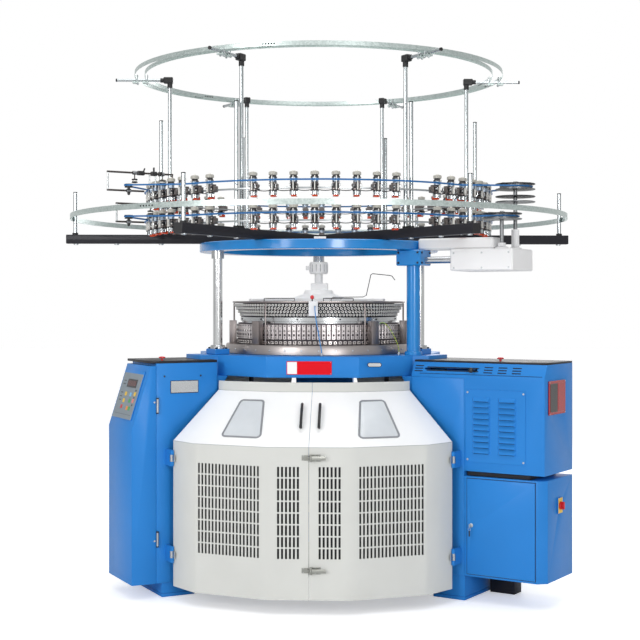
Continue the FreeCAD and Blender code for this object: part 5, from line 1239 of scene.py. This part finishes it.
feeder = Workpiece()
for outline, finish, steps in (
        ([(0.01, 0.0858), (0.0185, 0.0856), (0.0225, 0.0835), (0.0236, 0.08), (0.0236, 0.0665), (0.0215, 0.065)],
         feeder_cap, 24),
        ([(0.006, 0.0858), (0.0075, 0.0862), (0.0075, 0.09), (0.006, 0.0912)], ivory, 12),
        ([(0.019, 0.0652), (0.0195, 0.06), (0.0248, 0.052), (0.0248, 0.0496), (0.018, 0.049)], feeder_black, 24),
        ([(0.018, 0.0489), (0.0228, 0.0484), (0.0228, 0.046), (0.0208, 0.0448), (0.0208, 0.0296), (0.0228, 0.0284),
          (0.0228, 0.0262), (0.017, 0.0258)], pulley_grey, 24),
        ([(0.012, -0.0212), (0.0245, -0.0214), (0.025, -0.0224), (0.025, -0.0246), (0.0235, -0.0262)], feeder_black,
         24),
        ([(0.017, -0.0264), (0.0235, -0.0266), (0.0238, -0.029), (0.0205, -0.0306), (0.0198, -0.042),
          (0.0232, -0.0448), (0.0232, -0.0474), (0.012, -0.048)], wheel_bright, 24)):
    feeder.turned(outline, finish, steps)
for count, radius, low, high, thick, finish in ((16, 0.0235, 0.0665, 0.081, 0.0016, feeder_cap),
                                                (12, 0.0222, -0.0452, -0.03, 0.0013, wheel_bright)):
    for i in range(count):
        feeder.rod((radius, 0, low), (radius, 0, high), thick, finish, 5, 0, turn_z(360 * i / count))
for low, high, finish, edge in (
        ((-0.014, -0.0115, -0.021), (0.0125, 0.0115, 0.026), feeder_black, 0.003),
        ((-0.012, -0.0205, 0.013), (0.01, 0.0205, 0.024), feeder_grey, 0.003),
        ((-0.012, -0.019, -0.0205), (0.011, 0.019, -0.01), feeder_grey, 0.002),
        ((-0.008, -0.0165, -0.01), (0.006, 0.0165, 0.013), feeder_black, 0.002),
        ((-0.033, -0.017, -0.0578), (0.004, 0.017, -0.0482), lamp_orange, 0.004),
        ((-0.033, -0.015, -0.049), (-0.022, 0.015, -0.04), lamp_orange, 0.003),
        ((-0.032, -0.008, -0.041), (-0.024, 0.008, -0.015), feeder_mount, 0.002),
        ((-0.056, -0.02, -0.016), (-0.0135, 0.02, 0.02), feeder_mount, 0.004),
        ((-0.048, -0.012, 0.019), (-0.015, 0.012, 0.03), feeder_mount, 0.003),
        # The ivory thread bar: partly a guide rod, partly a painted highlight down the black body.
        ((0.012, -0.0026, -0.0205), (0.0258, 0.0026, 0.025), ivory, 0.001),
        ((0.0234, -0.0026, 0.024), (0.0258, 0.0026, 0.06), ivory, 0.0008)):
    feeder.block(low, high, finish, edge)
for start, end, radius, finish in (((0.008, -0.017, 0.004), (0.008, -0.021, 0.004), 0.0052, wheel_bright),
                                   ((0.008, 0.017, -0.002), (0.008, 0.021, -0.002), 0.0046, ivory),
                                   ((-0.037, 0, -0.0155), (-0.037, 0, -0.023), 0.007, zinc)):
    feeder.rod(start, end, radius, finish, 12, 0.001)
for route in ([(0.01, 0.014, 0.018), (0.024, 0.023, 0.014), (0.026, 0.024, -0.006), (0.02, 0.02, -0.018)],
              [(0.01, -0.014, 0.018), (0.023, -0.023, 0.012), (0.0245, -0.024, -0.002)]):
    feeder.wire(route, 0.0011, wheel_bright, 6)


def along_sector(sector, spot):
    """The turn to a feeder of a sector; spots count from its first, with shares between."""
    return creel_turn @ turn_z(60 * sector + 30 + (spot - 3.5) * FEEDER_PITCH)


for tier, level in RAILS.items():
    row = Workpiece()
    row.repeat(feeder, [along_sector(sector, spot) @ shift(FEEDER_SPOT, 0, level + RAIL_THICK)
                        for sector, spot in product(range(6), range(8))])
    replaced = ("yarn_feeders",) if tier == "upper" else ()
    row.done("yarn_feeders_" + tier, "cast_alloy", *replaced)

# ---- Feeder rails, belts and tension arms --------------------------------------------------------
# Each rail is plated steel strip bent at the feeders. A fabric belt runs round the pulleys and out
# to a roller on a bent rod, where knobs and clamps set its tension.

rail_bright = metal("rail_bright", "BFC3C4", 0.3)
rod_dark = metal("rod_dark", "55504E", 0.4)
RAIL_INNER = 1.0311
RAIL_OUTER = 1.0614
RAIL_BENDS = [(sector, 3.5 + 2 * step) for sector in range(6) for step in (-2, -1, 0, 1, 2)]
ARM_SIDE = creel_turn @ turn_z(210)
STUB_SPOT = 1.0462
ROLLER_SPOT = 1.33


def hanging_knob(work, spot, level):
    """A clamp on the rod with a knurled knob hanging from its screw."""
    work.rod((spot - 0.013, 0, level), (spot + 0.013, 0, level), 0.0115, disc_grey, 16, 0.001, ARM_SIDE)
    at = ARM_SIDE @ shift(spot, 0, level)
    work.turned([(0.0035, -0.034), (0.0035, -0.01)], rod_dark, 10, at)
    work.turned([(0.01, -0.062), (0.0175, -0.06), (0.0185, -0.057), (0.015, -0.054), (0.015, -0.043),
                 (0.0185, -0.04), (0.0175, -0.037), (0.008, -0.0345)], cap_black, 24, at)
    work.turned([(0.0153, -0.0515), (0.0157, -0.051), (0.0157, -0.046), (0.0153, -0.0455)], ivory, 24, at)


rails = Workpiece()
for level, end in ((RAILS["upper"], 1.469), (RAILS["lower"], 1.413)):
    high = level + RAIL_THICK
    section = ((RAIL_INNER, level), (RAIL_OUTER, level), (RAIL_OUTER, high), (RAIL_INNER, high))
    rails.hoops([along_sector(*bend) @ Vector((radius, 0, height))
                 for radius, height in section for bend in RAIL_BENDS], len(RAIL_BENDS), rail_bright, closed=True)
    top, low = level + 0.121, level + 0.013
    for start_x, start_z, end_x, end_z, radius, finish, sides, edge in (
            (STUB_SPOT, high, STUB_SPOT, top + 0.006, 0.006, rod_dark, 16, 0.001),
            (STUB_SPOT - 0.006, top, end, top, 0.0058, rod_dark, 16, 0.001),
            (end - 0.006, low, end - 0.006, top, 0.0048, rail_bright, 14, 0),
            (ROLLER_SPOT - 0.1, low, end, low, 0.0058, rod_dark, 16, 0.001),
            (ROLLER_SPOT - 0.014, low, ROLLER_SPOT + 0.014, low, 0.0105, disc_grey, 16, 0.001)):
        rails.rod((start_x, 0, start_z), (end_x, 0, end_z), radius, finish, sides, edge, ARM_SIDE)
    rails.turned([(0.0045, low - 0.026), (0.009, low - 0.02), (0.009, low - 0.011), (0.005, low - 0.009)], cap_black,
                 14, ARM_SIDE @ shift(ROLLER_SPOT, 0, 0))
    for spot in (1.292, 1.112) if level == RAILS["upper"] else (1.19,):
        hanging_knob(rails, spot, top)
# The upper arm has three clamps, two of them with a screw, and two drop rods.
top = RAILS["upper"] + 0.121
for spot, half in ((1.252, 0.022), (1.167, 0.019), (1.125, 0.012)):
    rails.block((spot - half, -0.013, top - 0.013), (spot + half, 0.013, top + 0.013), cap_black, 0.004, ARM_SIDE)
rails.rod((1.236, 0, top + 0.008), (1.226, 0, top + 0.03), 0.0045, cap_black, 10, 0.001, ARM_SIDE)
rails.rod((1.167, 0, top + 0.01), (1.167, 0, top + 0.038), 0.0055, cap_black, 12, 0.001, ARM_SIDE)
for spot in (1.196, 1.156):
    rails.rod((spot, 0, top - 0.085), (spot, 0, top), 0.0042, rail_bright, 12, 0, ARM_SIDE)
rails.done("feeder_rails_and_arms", "dark_steel", "feeder_rails")

tape_blue = plastic("tape_blue", "1E64A0", 0.6)
refinish("drive_tapes", tape_blue)
for tier in ("lower", "upper"):
    low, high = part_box("idler_" + tier)
    middle = (low + high) / 2
    radius = (high.x - low.x) / 2
    wheel = RAILS[tier] + 0.031
    roller = Workpiece()
    roller.turned([(0.007, low.z), (0.0085, low.z + 0.001), (0.0085, wheel), (radius, wheel + 0.0005),
                   (radius, wheel + 0.004), (radius - 0.0025, wheel + 0.006), (radius - 0.0025, high.z - 0.006),
                   (radius, high.z - 0.004), (radius, high.z - 0.0005), (0.006, high.z)],
                  disc_black, 32, shift(middle.x, middle.y, 0))
    roller.done("idler_roller_" + tier, "blue_tape", "idler_" + tier, body="idler_" + tier)

# ---- Feeder wiring -------------------------------------------------------------------------------
# Clipped below each rail, the signal wire hangs a little between one feeder and the next.

wire_black = plastic("wire_black", "2B2A2C", 0.5)
WIRE_SPOT = RAIL_OUTER - 0.012
WIRE_CLIP = 0.0035
WIRE_DROP = 0.01
wiring = Workpiece()
for level, sector, number in product(RAILS.values(), range(6), range(7)):
    route = []
    for share in [step / 6 for step in range(7)]:
        height = level - WIRE_CLIP - WIRE_DROP * (1 - (2 * share - 1) ** 2)
        route.append(along_sector(sector, number + share) @ Vector((WIRE_SPOT, 0, height)))
    wiring.wire(route, 0.0026, wire_black, 6)
wiring.done("feeder_wiring", "black_rubber")
